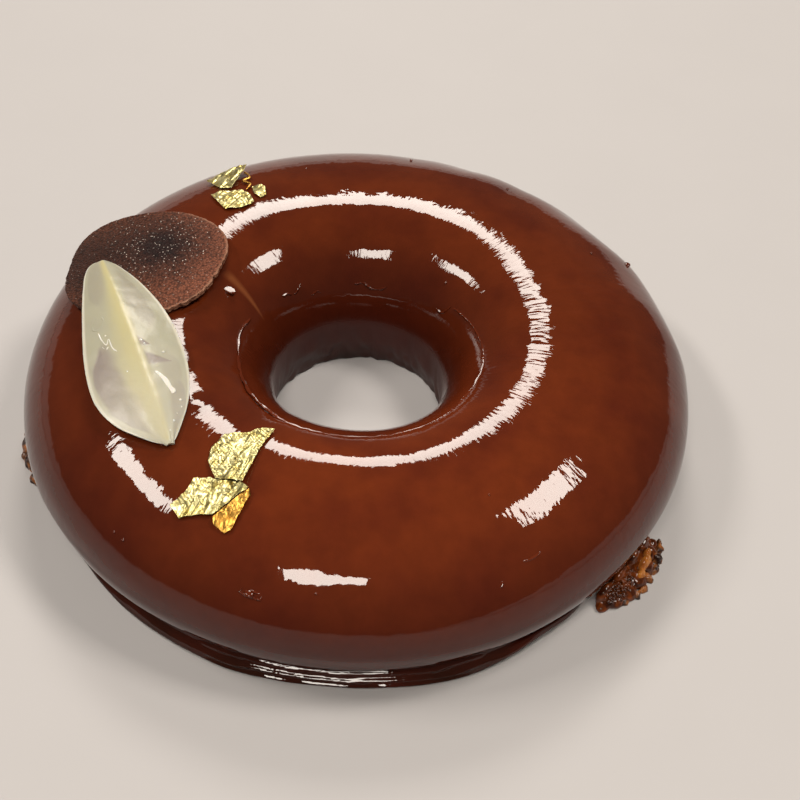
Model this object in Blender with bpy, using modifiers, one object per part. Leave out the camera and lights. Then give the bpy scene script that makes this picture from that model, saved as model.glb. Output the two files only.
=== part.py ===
"""Ring-shaped chocolate mousse cake under a mirror glaze, with chocolate and gold leaf on top.

Units are metres with +Z up. The origin is on the ring's axis, on the surface that the cake
rests on. The sizes below are in millimetres and MM turns them into metres.
"""
import math
import random

import bmesh
import bpy
from mathutils import Vector, noise

MM = 0.001

# Glazed ring
OUTER_RADIUS = 100.0
HEIGHT = 43.4
CREST_RADIUS = 55.7
HOLE_RADIUS = 25.1
OUTER_WIDEST_HEIGHT = 16.4
HOLE_WAIST_HEIGHT = 9.5
OUTER_FULLNESS = 2.14
INNER_FULLNESS = 2.02
FOOT_RADIUS = 92.6
INNER_FOOT_RADIUS = 26.6
UNDERSIDE_HEIGHT = 4.0
GLAZE_EDGE_HEIGHT = 0.3
RING_SEGMENTS = 88

# Glaze that ran down and set over the foot: middle azimuth and half spread of each skirt
FRONT_SKIRT = (-97.0, 46.0)
BACK_SKIRT = (84.0, 40.0)
SKIRT_LIP_RADIUS = 97.2
SKIRT_POOL = 4.2
SKIRT_WALL = 3.0
SKIRT_FADE = 16.0

# Crunchy base layer
BASE_THICKNESS = 3.6
BASE_RADIUS = 95.2
BASE_HOLE_RADIUS = 28.6
BASE_SEGMENTS = 72
EDGE_ROUGHNESS = 0.55
# Nuggets on each side: middle azimuth, half spread, how far out they scatter and how many
LEFT_NUGGETS = (-167.0, 4.6, 2.4, 6)
RIGHT_NUGGETS = (-34.0, 8.4, 2.2, 12)
NUGGET_START = 3.9
NUGGET_RADII = (2.1, 2.9)
NUGGET_HEIGHTS = (1.9, 2.7)
NUGGET_DENT = 0.42
NUGGET_DENTS_PER_MM = 0.45
NUGGET_FLATNESS = 0.85
# How far the slab reaches out under the nuggets
SLAB_TONGUE = 4.8

# Dark chocolate oval
OVAL_CENTRE = (-66.15, 19.5)
OVAL_HALF_SIZES = (24.6, 23.8)
# The outline's swells: waves round the oval, share of the radius and phase
OVAL_SWELLS = ((2, 0.0237, 0.07), (3, 0.0289, 1.84), (4, 0.0232, -0.42), (5, 0.0097, -1.32),
               (6, 0.0110, 2.46))
OVAL_THICKNESS = 1.4
OVAL_REST_HEIGHT = 43.4
OVAL_SLOPE = math.radians(7.0)
OVAL_RADIAL_CURL = 170.0
OVAL_SIDE_CURL = 600.0
OVAL_DROOP_START = 8.0
OVAL_EDGE_DROOP = 220.0
OVAL_WAVE = 0.25
OVAL_GRID = 14

# White chocolate leaf
LEAF_BASE = (-77.9, 15.2)
LEAF_TIP = (-48.0, -51.9)
# Each side's half width, the share of the length where it is widest, how pointed its base is
# and how much straighter the side gets from there
LEAF_LEFT_SIDE = (15.1, 0.65, 0.41, 0.8)
LEAF_RIGHT_SIDE = (12.6, 0.50, 0.67, 0.2)
LEAF_THICKNESS = 1.2
LEAF_KEEL = 3.4
LEAF_REST_HEIGHT = 43.85
# How far the base stands up on the oval, how that grows along the leaf, and where it ends
LEAF_BASE_LIFT = 1.9
LEAF_LIFT_GROWTH = 2.2
LEAF_LIFT_START = 0.15
LEAF_LIFT_FADE = 0.6
LEAF_SIDE_DROOP = 1.5
LEAF_TIP_DROP = 0.6
LEAF_LENGTH_STEPS = 26
LEAF_SIDE_STEPS = 4

# Gold leaf
GOLD_THICKNESS = 0.35
GOLD_CRUMPLE = 0.9

CONTACT_GAP = 0.3


def smooth_step(value):
    """0 below 0, 1 above 1 and a smooth rise between."""
    value = min(max(value, 0.0), 1.0)
    return value * value * (3.0 - 2.0 * value)


def angle_from(azimuth, middle):
    """The angle in degrees between two azimuths, without a sign."""
    return abs((azimuth - middle + 180.0) % 360.0 - 180.0)


def window(azimuth, middle, half_spread, fade):
    """1 within half_spread of the middle azimuth, fading to 0 over the fade outside it."""
    return 1.0 - smooth_step((angle_from(azimuth, middle) - half_spread) / fade)


def outer_swell(azimuth):
    """How far the ring's outer side bulges at an azimuth."""
    turn = math.radians(azimuth)
    return 0.32 * math.sin(2.0 * turn + 0.7) + 0.22 * math.sin(5.0 * turn + 2.1)


def crest_swell(azimuth):
    """How far the ring's top rises at an azimuth."""
    turn = math.radians(azimuth)
    return 0.22 * math.sin(3.0 * turn + 1.0) + 0.12 * math.sin(7.0 * turn + 0.4)


def quarter_height(distance, half_width, half_height, fullness):
    """Height of a quarter of a superellipse at a distance from its middle."""
    share = min(abs(distance) / half_width, 1.0)
    return half_height * (1.0 - share ** fullness) ** (1.0 / fullness)


def ring_top(x, y):
    """Height of the glazed ring's upper surface above a point of the plan."""
    azimuth = math.degrees(math.atan2(y, x))
    distance = math.hypot(x, y) - CREST_RADIUS
    if distance >= 0.0:
        half_width = OUTER_RADIUS + outer_swell(azimuth) - CREST_RADIUS
        height = OUTER_WIDEST_HEIGHT + quarter_height(
            distance, half_width, HEIGHT - OUTER_WIDEST_HEIGHT, OUTER_FULLNESS)
    else:
        height = HOLE_WAIST_HEIGHT + quarter_height(
            distance, CREST_RADIUS - HOLE_RADIUS, HEIGHT - HOLE_WAIST_HEIGHT, INNER_FULLNESS)
    return height * (1.0 + crest_swell(azimuth) / HEIGHT)


def arc(half_width, half_height, fullness, start, end, steps):
    """Points of a superellipse from one angle to another, in degrees, without the last."""
    points = []
    for step in range(steps):
        angle = math.radians(start + (end - start) * step / steps)
        across = abs(math.cos(angle)) ** (2.0 / fullness)
        upward = abs(math.sin(angle)) ** (2.0 / fullness)
        points.append((math.copysign(across, math.cos(angle)) * half_width,
                       math.copysign(upward, math.sin(angle)) * half_height))
    return points


def blend(first, second, share):
    """A point that share of the way from one point to another."""
    return (first[0] + (second[0] - first[0]) * share, first[1] + (second[1] - first[1]) * share)


def skirt_at(azimuth):
    """How far the glaze skirt reaches out and down at an azimuth, and its lip radius."""
    reach, drop = 0.0, 0.0
    for middle, half_spread in (FRONT_SKIRT, BACK_SKIRT):
        reach = max(reach, window(azimuth, middle, half_spread, SKIRT_FADE))
        drop = max(drop, window(azimuth, middle, half_spread - SKIRT_FADE, SKIRT_FADE * 0.8))
    # The glaze pooled widest at the front, where it sets off abruptly on one side
    front_pool = smooth_step((azimuth + 112.0) / 7.0) * (1.0 - smooth_step((azimuth + 72.0) / 24.0))
    back_pool = window(azimuth, BACK_SKIRT[0], 12.0, 24.0)
    turn = math.radians(azimuth)
    lip = SKIRT_LIP_RADIUS + SKIRT_POOL * max(front_pool, back_pool * 0.8)
    lip += 0.3 * math.sin(9.0 * turn)
    return reach, drop, lip


def ring_section(azimuth):
    """The ring's closed section at an azimuth, as radius and height pairs."""
    half_width = OUTER_RADIUS - CREST_RADIUS
    inner_width = CREST_RADIUS - HOLE_RADIUS
    points = []
    for across, upward in arc(half_width, HEIGHT - OUTER_WIDEST_HEIGHT, OUTER_FULLNESS, 0, 90, 13):
        points.append((CREST_RADIUS + across, OUTER_WIDEST_HEIGHT + upward))
    for across, upward in arc(inner_width, HEIGHT - HOLE_WAIST_HEIGHT, INNER_FULLNESS, 90, 180, 12):
        points.append((CREST_RADIUS + across, HOLE_WAIST_HEIGHT + upward))

    swell = outer_swell(azimuth)
    lift = 1.0 + crest_swell(azimuth) / HEIGHT
    section = []
    for radius, height in points:
        share = max(radius - CREST_RADIUS, 0.0) / half_width
        section.append((radius + swell * share, height * lift))

    # Down the hole's wall to the edge of the glaze and in under the cake
    wrinkle = 0.25 * math.sin(math.radians(azimuth) * 11.0)
    section.append((HOLE_RADIUS, HOLE_WAIST_HEIGHT))
    section.append((HOLE_RADIUS + 0.35 + wrinkle, 6.0))
    section.append((HOLE_RADIUS + 1.0 - wrinkle, 3.0))
    section.append((INNER_FOOT_RADIUS - 0.2, 1.2))
    section.append((INNER_FOOT_RADIUS + 0.2, GLAZE_EDGE_HEIGHT))
    section.append((INNER_FOOT_RADIUS + 1.2, GLAZE_EDGE_HEIGHT))
    section.append((INNER_FOOT_RADIUS + 1.6, UNDERSIDE_HEIGHT))

    # Out to the foot, or to the skirt where the glaze ran down, and up to the widest point
    reach, drop, lip = skirt_at(azimuth)
    edge = UNDERSIDE_HEIGHT + (GLAZE_EDGE_HEIGHT - UNDERSIDE_HEIGHT) * drop
    rest = UNDERSIDE_HEIGHT
    inner_lip = lip - SKIRT_WALL
    section.append((60.0, rest))
    section.append((blend((FOOT_RADIUS - 3.4, 0.0), (inner_lip, 0.0), reach)[0], rest))
    section.append(blend((FOOT_RADIUS - 2.9, rest), (inner_lip + 0.4, edge), reach))
    section.append(blend((FOOT_RADIUS - 0.6, rest), (lip - 0.9, edge), reach))
    section.append(blend((FOOT_RADIUS, rest + 0.25), (lip, edge + 1.1), reach))
    section.append(blend((FOOT_RADIUS + 0.9, rest + 0.9), (lip - 0.5, edge + 2.7), reach))
    section.append(blend((FOOT_RADIUS + 2.0, rest + 1.8), (lip - 1.9, rest + 1.5), reach * 0.9))
    section.append(blend((FOOT_RADIUS + 3.9, 7.6), (lip - 2.6, 7.4), reach * 0.45))
    section.append((FOOT_RADIUS + 5.9 + swell, 10.6))
    section.append((OUTER_RADIUS - 0.35 + swell, 13.6))
    return section


def loft_round_axis(sections):
    """Skin closed sections that stand round the axis into one closed shell."""
    shell = bmesh.new()
    hoops = [[shell.verts.new(point) for point in section] for section in sections]
    for index, hoop in enumerate(hoops):
        following = hoops[(index + 1) % len(hoops)]
        for start in range(len(hoop)):
            end = (start + 1) % len(hoop)
            shell.faces.new((hoop[start], hoop[end], following[end], following[start]))
    bmesh.ops.recalc_face_normals(shell, faces=shell.faces)
    return shell


def turned_sections(section_at, segments):
    """Sections at even azimuths, as points in space."""
    sections = []
    for segment in range(segments):
        azimuth = -180.0 + 360.0 * segment / segments
        turn = math.radians(azimuth)
        sections.append([Vector((radius * math.cos(turn), radius * math.sin(turn), height)) * MM
                         for radius, height in section_at(azimuth)])
    return sections


def make_material(name, colour, roughness, metallic=0.0):
    """A Principled material of one colour."""
    material = bpy.data.materials.new(name)
    material.use_nodes = True
    shader = material.node_tree.nodes["Principled BSDF"]
    shader.inputs["Base Color"].default_value = (*colour, 1.0)
    shader.inputs["Roughness"].default_value = roughness
    shader.inputs["Metallic"].default_value = metallic
    return material


def add_object(name, shape, collection, material):
    """Turn a bmesh into a smooth-shaded object in the collection."""
    mesh = bpy.data.meshes.new(name)
    shape.to_mesh(mesh)
    shape.free()
    mesh.shade_smooth()
    mesh.materials.append(material)
    piece = bpy.data.objects.new(name, mesh)
    collection.objects.link(piece)
    return piece


def thicken(piece, thickness):
    """Give an open sheet a thickness above its surface."""
    solidify = piece.modifiers.new("Thickness", "SOLIDIFY")
    solidify.thickness = thickness * MM
    solidify.offset = 1.0


def build_glazed_ring(collection):
    """The mousse ring with the glaze that set on it."""
    glaze = make_material("Chocolate mirror glaze", (0.105, 0.021, 0.009), 0.06)
    ring = loft_round_axis(turned_sections(ring_section, RING_SEGMENTS))
    return add_object("glazed_ring", ring, collection, glaze)


def base_section(azimuth):
    """The crunchy base's section at an azimuth, with a rough edge."""
    turn = math.radians(azimuth)
    rough = EDGE_ROUGHNESS * noise.noise(Vector((math.cos(turn) * 9.0, math.sin(turn) * 9.0, 0.0)))
    tongue = 0.0
    for middle, half_spread, _, _ in (LEFT_NUGGETS, RIGHT_NUGGETS):
        tongue = max(tongue, SLAB_TONGUE * window(azimuth, middle, half_spread, 5.0))
    reach, _, lip = skirt_at(azimuth)
    outer = BASE_RADIUS + (lip - SKIRT_WALL - 1.0 - BASE_RADIUS) * reach + rough + tongue
    inner = BASE_HOLE_RADIUS + rough * 0.5
    top = BASE_THICKNESS
    return [(outer - 0.4, 0.0), (outer, 1.2), (outer - 0.2, 2.6), (outer - 0.9, top),
            (inner + 0.7, top), (inner, 2.4), (inner + 0.2, 0.0)]


def make_nugget(radius, azimuth, distance, height, seed):
    """One rough nugget, as an icosphere pushed in and out by noise."""
    nugget = bmesh.new()
    bmesh.ops.create_icosphere(nugget, subdivisions=2, radius=radius * MM)
    turn = math.radians(azimuth)
    centre = Vector((distance * math.cos(turn), distance * math.sin(turn), height)) * MM
    for vertex in nugget.verts:
        dent = noise.noise(vertex.co / MM * NUGGET_DENTS_PER_MM + Vector((seed * 7.3, 0.0, 0.0)))
        vertex.co *= 1.0 + NUGGET_DENT * dent
        vertex.co.z *= NUGGET_FLATNESS
        vertex.co += centre
        vertex.co.z = max(vertex.co.z, 0.05 * MM)
    return nugget


def build_crunch_base(collection, pieces):
    """The crunchy layer under the ring, with the nuggets that stick out fused on."""
    caramel = make_material("Caramelised praline crunch", (0.235, 0.088, 0.021), 0.42)
    slab = loft_round_axis(turned_sections(base_section, BASE_SEGMENTS))
    base = add_object("crunch_base", slab, collection, caramel)
    draw = random.Random(11)
    for middle, half_spread, scatter, count in (LEFT_NUGGETS, RIGHT_NUGGETS):
        for index in range(count):
            share = (index + 0.5) / count
            radius = draw.uniform(*NUGGET_RADII)
            azimuth = middle + (share * 2.0 - 1.0) * half_spread
            distance = BASE_RADIUS + NUGGET_START + scatter * draw.random()
            height = draw.uniform(*NUGGET_HEIGHTS)
            nugget = make_nugget(radius, azimuth, distance, height, index)
            add_object(f"nugget_{middle:.0f}_{index}", nugget, pieces, caramel)
    union = base.modifiers.new("Fuse nuggets", "BOOLEAN")
    union.operation = "UNION"
    union.operand_type = "COLLECTION"
    union.collection = pieces
    union.solver = "EXACT"
    bpy.context.view_layer.update()
    evaluated = base.evaluated_get(bpy.context.evaluated_depsgraph_get())
    fused = bpy.data.meshes.new_from_object(evaluated)
    base.modifiers.clear()
    base.data = fused
    for nugget in list(pieces.objects):
        bpy.data.objects.remove(nugget)
    return base


def oval_height(x, y):
    """Height of the dark oval's underside above a point of the plan."""
    centre = Vector(OVAL_CENTRE)
    outward = centre.normalized()
    offset = Vector((x, y)) - centre
    along = offset.dot(outward)
    aside = offset.cross(outward)
    height = OVAL_REST_HEIGHT - along * math.tan(OVAL_SLOPE)
    height -= along * along / (2.0 * OVAL_RADIAL_CURL) + aside * aside / (2.0 * OVAL_SIDE_CURL)
    height -= max(along - OVAL_DROOP_START, 0.0) ** 2 / OVAL_EDGE_DROOP
    return height


def build_dark_oval(collection):
    """The thin dark chocolate oval, bent a little over the ring."""
    dark = make_material("Dark chocolate", (0.030, 0.012, 0.008), 0.45)
    sheet = bmesh.new()
    bmesh.ops.create_grid(sheet, x_segments=OVAL_GRID, y_segments=OVAL_GRID, size=1.0)
    centre = Vector(OVAL_CENTRE)
    outward = centre.normalized()
    aside = Vector((-outward.y, outward.x))
    for vertex in sheet.verts:
        across, along, _ = vertex.co
        # A square grid becomes a disc without a pole
        disc = Vector((across * math.sqrt(1.0 - along * along / 2.0),
                       along * math.sqrt(1.0 - across * across / 2.0)))
        angle = math.atan2(disc.y, disc.x)
        swollen = 1.0
        for waves, share, phase in OVAL_SWELLS:
            swollen += share * math.sin(waves * angle + phase)
        plan = centre + (aside * disc.x * OVAL_HALF_SIZES[0]
                         + outward * disc.y * OVAL_HALF_SIZES[1]) * swollen
        wave = OVAL_WAVE * math.sin(3.0 * angle + 1.0) * disc.length_squared
        vertex.co = Vector((plan.x, plan.y, oval_height(plan.x, plan.y) + wave)) * MM
    # The turn to the outward direction mirrored the grid, so its faces looked down
    bmesh.ops.reverse_faces(sheet, faces=sheet.faces)
    bmesh.ops.triangulate(sheet, faces=sheet.faces)
    piece = add_object("dark_chocolate_oval", sheet, collection, dark)
    thicken(piece, OVAL_THICKNESS)
    return piece


def leaf_half_width(along, half_width, widest_at, pointed, straighter):
    """Half width of one side of the leaf, from its round base to its pointed tip."""
    if along < widest_at:
        share = along / widest_at
        return half_width * math.sin(math.pi / 2.0 * share) ** (pointed + straighter * share)
    share = (along - widest_at) / (1.0 - widest_at)
    return half_width * max(math.cos(math.pi / 2.0 * share ** 1.3), 0.0) ** 0.9


def leaf_height(along, across):
    """Height of the leaf's underside: edges near what carries them, the rib raised."""
    fullness = leaf_half_width(along, *LEAF_LEFT_SIDE) / LEAF_LEFT_SIDE[0]
    ridge = LEAF_KEEL * fullness * (1.0 - math.hypot(across, 0.05) ** 1.3)
    lift = (LEAF_BASE_LIFT + LEAF_LIFT_GROWTH * along) * (
        1.0 - smooth_step((along - LEAF_LIFT_START) / LEAF_LIFT_FADE))
    # The left side hangs down; the right one curls up a little
    droop = LEAF_SIDE_DROOP * across * across * (1.0 if across < 0.0 else -0.1)
    return (LEAF_REST_HEIGHT + lift + ridge - droop * math.sin(math.pi * along)
            - LEAF_TIP_DROP * along ** 8)


def build_white_leaf(collection):
    """The white chocolate leaf that lies on the oval and on the ring's crest."""
    white = make_material("White chocolate", (0.74, 0.70, 0.55), 0.22)
    base, tip = Vector(LEAF_BASE), Vector(LEAF_TIP)
    heading = (tip - base).normalized()
    side = Vector((-heading.y, heading.x))
    sheet = bmesh.new()
    bmesh.ops.create_grid(sheet, x_segments=LEAF_LENGTH_STEPS, y_segments=LEAF_SIDE_STEPS * 2,
                          size=0.5)
    for vertex in sheet.verts:
        along = 0.004 + 0.99 * (vertex.co.x + 0.5)
        across = vertex.co.y * 2.0
        half_width = leaf_half_width(along, *(LEAF_LEFT_SIDE if across < 0.0 else LEAF_RIGHT_SIDE))
        plan = base.lerp(tip, along) + side * across * half_width
        vertex.co = Vector((plan.x, plan.y, leaf_height(along, across))) * MM
    bmesh.ops.triangulate(sheet, faces=sheet.faces)
    piece = add_object("white_chocolate_leaf", sheet, collection, white)
    thicken(piece, LEAF_THICKNESS)
    return piece


# Each torn piece of gold leaf: plan position of its middle, then its corners as offsets from
# that middle and how far each corner stands off the glaze
GOLD_PIECES = {
    "gold_leaf_front_upper": ((-30.0, -53.5), (
        (-3.8, 5.7, 0.2), (3.0, 6.6, 0.4), (9.4, 9.0, 0.2), (7.6, 3.6, 0.1), (4.6, -4.0, 0.5),
        (2.6, -8.4, 0.9), (-4.8, -7.2, 0.6), (-7.3, -2.0, 0.3))),
    "gold_leaf_front_lower": ((-36.0, -66.5), (
        (-0.4, 4.9, 0.2), (-4.4, 4.4, 0.1), (-6.3, 0.8, 0.2), (-9.9, -2.7, 0.4), (-7.1, -6.0, 0.2),
        (-2.6, -5.6, 0.1), (1.9, -6.1, 0.8), (10.6, 1.2, 1.4), (8.4, 3.3, 0.6))),
    "gold_leaf_front_fold": ((-29.6, -71.4), (
        (-3.2, -2.2, 1.0), (-0.9, -4.0, 0.3), (0.9, -3.2, 0.1), (5.4, 4.4, 0.1),
        (5.0, 5.4, 0.9))),
    "gold_leaf_back_lower": ((-43.5, 51.2), (
        (-7.3, 2.6, 0.3), (-4.4, 4.6, 0.2), (2.3, 4.8, 0.1), (5.2, 2.5, 0.1), (7.0, -1.7, 0.2),
        (4.0, -4.4, 0.3), (-1.5, -5.6, 0.2), (-5.0, -1.2, 0.5))),
    "gold_leaf_back_side": ((-35.6, 55.8), (
        (-2.6, 2.3, 0.2), (0.4, 2.8, 0.6), (1.7, 1.7, 0.5), (2.5, -2.2, 0.2), (0.9, -3.7, 0.1),
        (-1.3, -1.8, 0.1))),
    "gold_leaf_back_tent": ((-45.6, 62.0), (
        (-8.0, 1.6, 1.0), (-0.8, 7.6, 2.4), (4.2, 8.6, 3.0), (3.8, 5.0, 2.4), (1.0, -4.6, 0.6),
        (-2.6, -4.4, 0.3))),
}


def build_gold_piece(name, middle, corners, gold, collection):
    """One torn, crumpled piece of gold leaf laid on the glaze."""
    sheet = bmesh.new()
    outline = [sheet.verts.new((middle[0] + x, middle[1] + y, lift)) for x, y, lift in corners]
    sheet.faces.new(outline)
    bmesh.ops.triangulate(sheet, faces=sheet.faces)
    bmesh.ops.subdivide_edges(sheet, edges=sheet.edges, cuts=2, use_grid_fill=True)
    bmesh.ops.triangulate(sheet, faces=sheet.faces)
    bmesh.ops.recalc_face_normals(sheet, faces=sheet.faces)
    if sum(face.normal.z for face in sheet.faces) < 0.0:
        bmesh.ops.reverse_faces(sheet, faces=sheet.faces)
    for vertex in sheet.verts:
        x, y, lift = vertex.co
        crumple = GOLD_CRUMPLE * abs(noise.noise(Vector((x * 0.42, y * 0.42, 3.0))))
        height = ring_top(x, y) + CONTACT_GAP + lift + crumple
        vertex.co = Vector((x, y, height)) * MM
    piece = add_object(name, sheet, collection, gold)
    thicken(piece, GOLD_THICKNESS)
    return piece


def main():
    """Clear the scene and build the cake."""
    for item in list(bpy.data.objects):
        bpy.data.objects.remove(item)
    cake = bpy.data.collections.new("chocolate_ring_cake")
    fused_pieces = bpy.data.collections.new("fused_pieces")
    bpy.context.scene.collection.children.link(cake)
    bpy.context.scene.collection.children.link(fused_pieces)
    build_glazed_ring(cake)
    build_crunch_base(cake, fused_pieces)
    build_dark_oval(cake)
    build_white_leaf(cake)
    gold = make_material("Gold leaf", (0.83, 0.58, 0.16), 0.28, 1.0)
    for name, (middle, corners) in GOLD_PIECES.items():
        build_gold_piece(name, middle, corners, gold, cake)


main()
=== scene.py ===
"""Chocolate mousse ring under a mirror glaze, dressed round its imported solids.

The cake rests on z = 0 with the ring's axis on the origin. Sizes here are in millimetres and MM
turns them into metres. Azimuths are in degrees from +X towards +Y.
"""
from __future__ import annotations

import logging
import math
import random
from dataclasses import dataclass
from enum import Enum
from typing import Any, Callable

import bmesh
import bpy
from mathutils import Matrix, Vector, noise

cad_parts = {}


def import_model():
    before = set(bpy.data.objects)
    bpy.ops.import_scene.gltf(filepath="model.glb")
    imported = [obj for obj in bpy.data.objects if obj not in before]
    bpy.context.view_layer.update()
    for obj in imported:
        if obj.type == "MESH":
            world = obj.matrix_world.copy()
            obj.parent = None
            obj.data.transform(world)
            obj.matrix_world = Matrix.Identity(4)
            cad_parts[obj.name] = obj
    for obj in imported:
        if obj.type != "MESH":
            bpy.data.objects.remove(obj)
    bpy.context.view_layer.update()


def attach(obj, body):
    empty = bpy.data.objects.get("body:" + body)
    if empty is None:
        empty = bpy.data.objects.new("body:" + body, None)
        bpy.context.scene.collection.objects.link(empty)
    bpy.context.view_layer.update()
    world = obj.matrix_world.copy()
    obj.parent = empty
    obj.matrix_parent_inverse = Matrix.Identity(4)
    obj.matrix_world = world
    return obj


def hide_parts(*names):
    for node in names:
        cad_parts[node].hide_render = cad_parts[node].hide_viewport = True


MM = 0.001
LOG = logging.getLogger("chocolate_ring")
# How far new pieces keep off the floor, in millimetres
FLOOR_GAP = 0.02

Point = tuple[float, float]
Place = tuple[float, float, float]


class Slot(Enum):
    """The record's material slots, one for each finish."""

    GLAZE = "mirror_glaze"
    CRUNCH = "praline_crunch"
    DARK = "dark_chocolate"
    WHITE = "white_chocolate"
    GOLD = "gold_leaf"


# Helpers


def smooth_step(value: float) -> float:
    """0 below 0, 1 above 1 and a smooth rise between."""
    value = min(max(value, 0.0), 1.0)
    return value * value * (3.0 - 2.0 * value)


def window(azimuth: float, middle: float, half_spread: float, fade: float) -> float:
    """Weigh an azimuth by how near it is to a middle one.

    Args:
        azimuth: The azimuth to weigh.
        middle: The azimuth in the middle of the window.
        half_spread: How far to each side the window is fully open.
        fade: Over how many degrees it closes outside that.

    Returns:
        1 inside the window and 0 well outside it.
    """
    apart = abs((azimuth - middle + 180.0) % 360.0 - 180.0)
    return 1.0 - smooth_step((apart - half_spread) / fade)


def blend(first: Point, second: Point, share: float) -> Point:
    """A point that share of the way from one point to another."""
    return first[0] + (second[0] - first[0]) * share, first[1] + (second[1] - first[1]) * share


def bump_at(point: Vector, scale: float, seed: float = 0.0) -> float:
    """Noise from about -1 to 1 whose lumps are about scale millimetres wide."""
    return noise.noise(point / scale + Vector((seed, seed * 0.37, seed * 0.11)))


def crease_at(point: Vector, scale: float, seed: float = 0.0) -> float:
    """Noise folded into sharp creases, 0 in a crease and up to 1 between them."""
    return abs(bump_at(point, scale, seed)) * 2.0


def srgb(colour: str) -> tuple[float, float, float, float]:
    """Turn a hex sRGB colour into the linear values that shaders take.

    Args:
        colour: A colour such as "#5c2110".

    Returns:
        Linear red, green and blue, and an alpha of 1.
    """
    channels = [int(colour[place:place + 2], 16) / 255.0 for place in (1, 3, 5)]
    linear = [c / 12.92 if c <= 0.04045 else ((c + 0.055) / 1.055) ** 2.4 for c in channels]
    return linear[0], linear[1], linear[2], 1.0


def add_node(tree: bpy.types.NodeTree, kind: str, inputs: dict[Any, Any] | None = None,
             **settings: Any) -> bpy.types.Node:
    """Add one node to a tree with its settings, values and links.

    Args:
        tree: The node tree that takes the node.
        kind: The node's type, such as "ShaderNodeTexNoise".
        inputs: Input name or number to a value, or to the output socket that feeds it.
        **settings: The node's own settings.

    Returns:
        The new node.
    """
    node = tree.nodes.new(kind)
    for name, value in settings.items():
        setattr(node, name, value)
    for name, value in (inputs or {}).items():
        if isinstance(value, bpy.types.NodeSocket):
            tree.links.new(value, node.inputs[name])
        else:
            node.inputs[name].default_value = value
    return node


def new_finish(name: str) -> tuple[bpy.types.Material, bpy.types.NodeTree, bpy.types.Node]:
    """Start a material.

    Args:
        name: The material's name.

    Returns:
        The material, its node tree and its Principled shader.
    """
    material = bpy.data.materials.new(name)
    material.use_nodes = True
    return material, material.node_tree, material.node_tree.nodes["Principled BSDF"]


def add_piece(name: str, shape: bmesh.types.BMesh, material: bpy.types.Material,
              replaced: str | None = None) -> bpy.types.Object:
    """Turn a bmesh into a smooth-shaded piece that rides on the cake.

    Args:
        name: The piece's name.
        shape: The mesh in metres, freed here.
        material: Its finish.
        replaced: The CAD node that the piece stands for.

    Returns:
        The new object.
    """
    mesh = bpy.data.meshes.new(name)
    shape.to_mesh(mesh)
    shape.free()
    mesh.shade_smooth()
    mesh.materials.append(material)
    piece = bpy.data.objects.new(name, mesh)
    bpy.context.scene.collection.objects.link(piece)
    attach(piece, "root")
    if replaced:
        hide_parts(replaced)
    LOG.info("%s: %d faces", name, len(mesh.polygons))
    return piece


def thicken(piece: bpy.types.Object, thickness: float, edge_radius: float = 0.0) -> None:
    """Give a sheet a thickness above its surface, with rounded edges.

    Args:
        piece: The sheet.
        thickness: Its thickness in millimetres.
        edge_radius: The radius of its edges in millimetres, or 0 for sharp ones.
    """
    solidify = piece.modifiers.new("Thickness", "SOLIDIFY")
    solidify.thickness = thickness * MM
    solidify.offset = 1.0
    if edge_radius:
        bevel = piece.modifiers.new("Soft edge", "BEVEL")
        bevel.width = edge_radius * MM
        bevel.segments = 3
        bevel.limit_method = "ANGLE"
        bevel.angle_limit = math.radians(50.0)


def spun(sections: list[list[Point]]) -> bmesh.types.BMesh:
    """Spin a closed section round the axis and let it change on the way.

    Args:
        sections: The section at even azimuths from 0, as radius and height pairs, all of the
            same length.

    Returns:
        The closed mesh, in millimetres.
    """
    shape = bmesh.new()
    station = shape.verts.layers.int.new("station")
    outline = []
    for index, (radius, height) in enumerate(sections[0]):
        vertex = shape.verts.new((radius, 0.0, height))
        vertex[station] = index
        outline.append(vertex)
    edges = [shape.edges.new((outline[index - 1], outline[index]))
             for index in range(len(outline))]
    bmesh.ops.spin(shape, geom=outline + edges, cent=(0.0, 0.0, 0.0), axis=(0.0, 0.0, 1.0),
                   angle=math.tau, steps=len(sections), use_merge=True)
    step = math.tau / len(sections)
    for vertex in shape.verts:
        index = round(math.atan2(vertex.co.y, vertex.co.x) / step) % len(sections)
        radius, height = sections[index][vertex[station]]
        turn = step * index
        vertex.co = (radius * math.cos(turn), radius * math.sin(turn), height)
    return shape


def face_outwards(shape: bmesh.types.BMesh) -> None:
    """Turn the faces of a closed shape outwards.

    Args:
        shape: The shape, changed in place.
    """
    bmesh.ops.recalc_face_normals(shape, faces=shape.faces)
    if shape.calc_volume(signed=True) < 0.0:
        bmesh.ops.reverse_faces(shape, faces=shape.faces)


# Ring's shape


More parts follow.
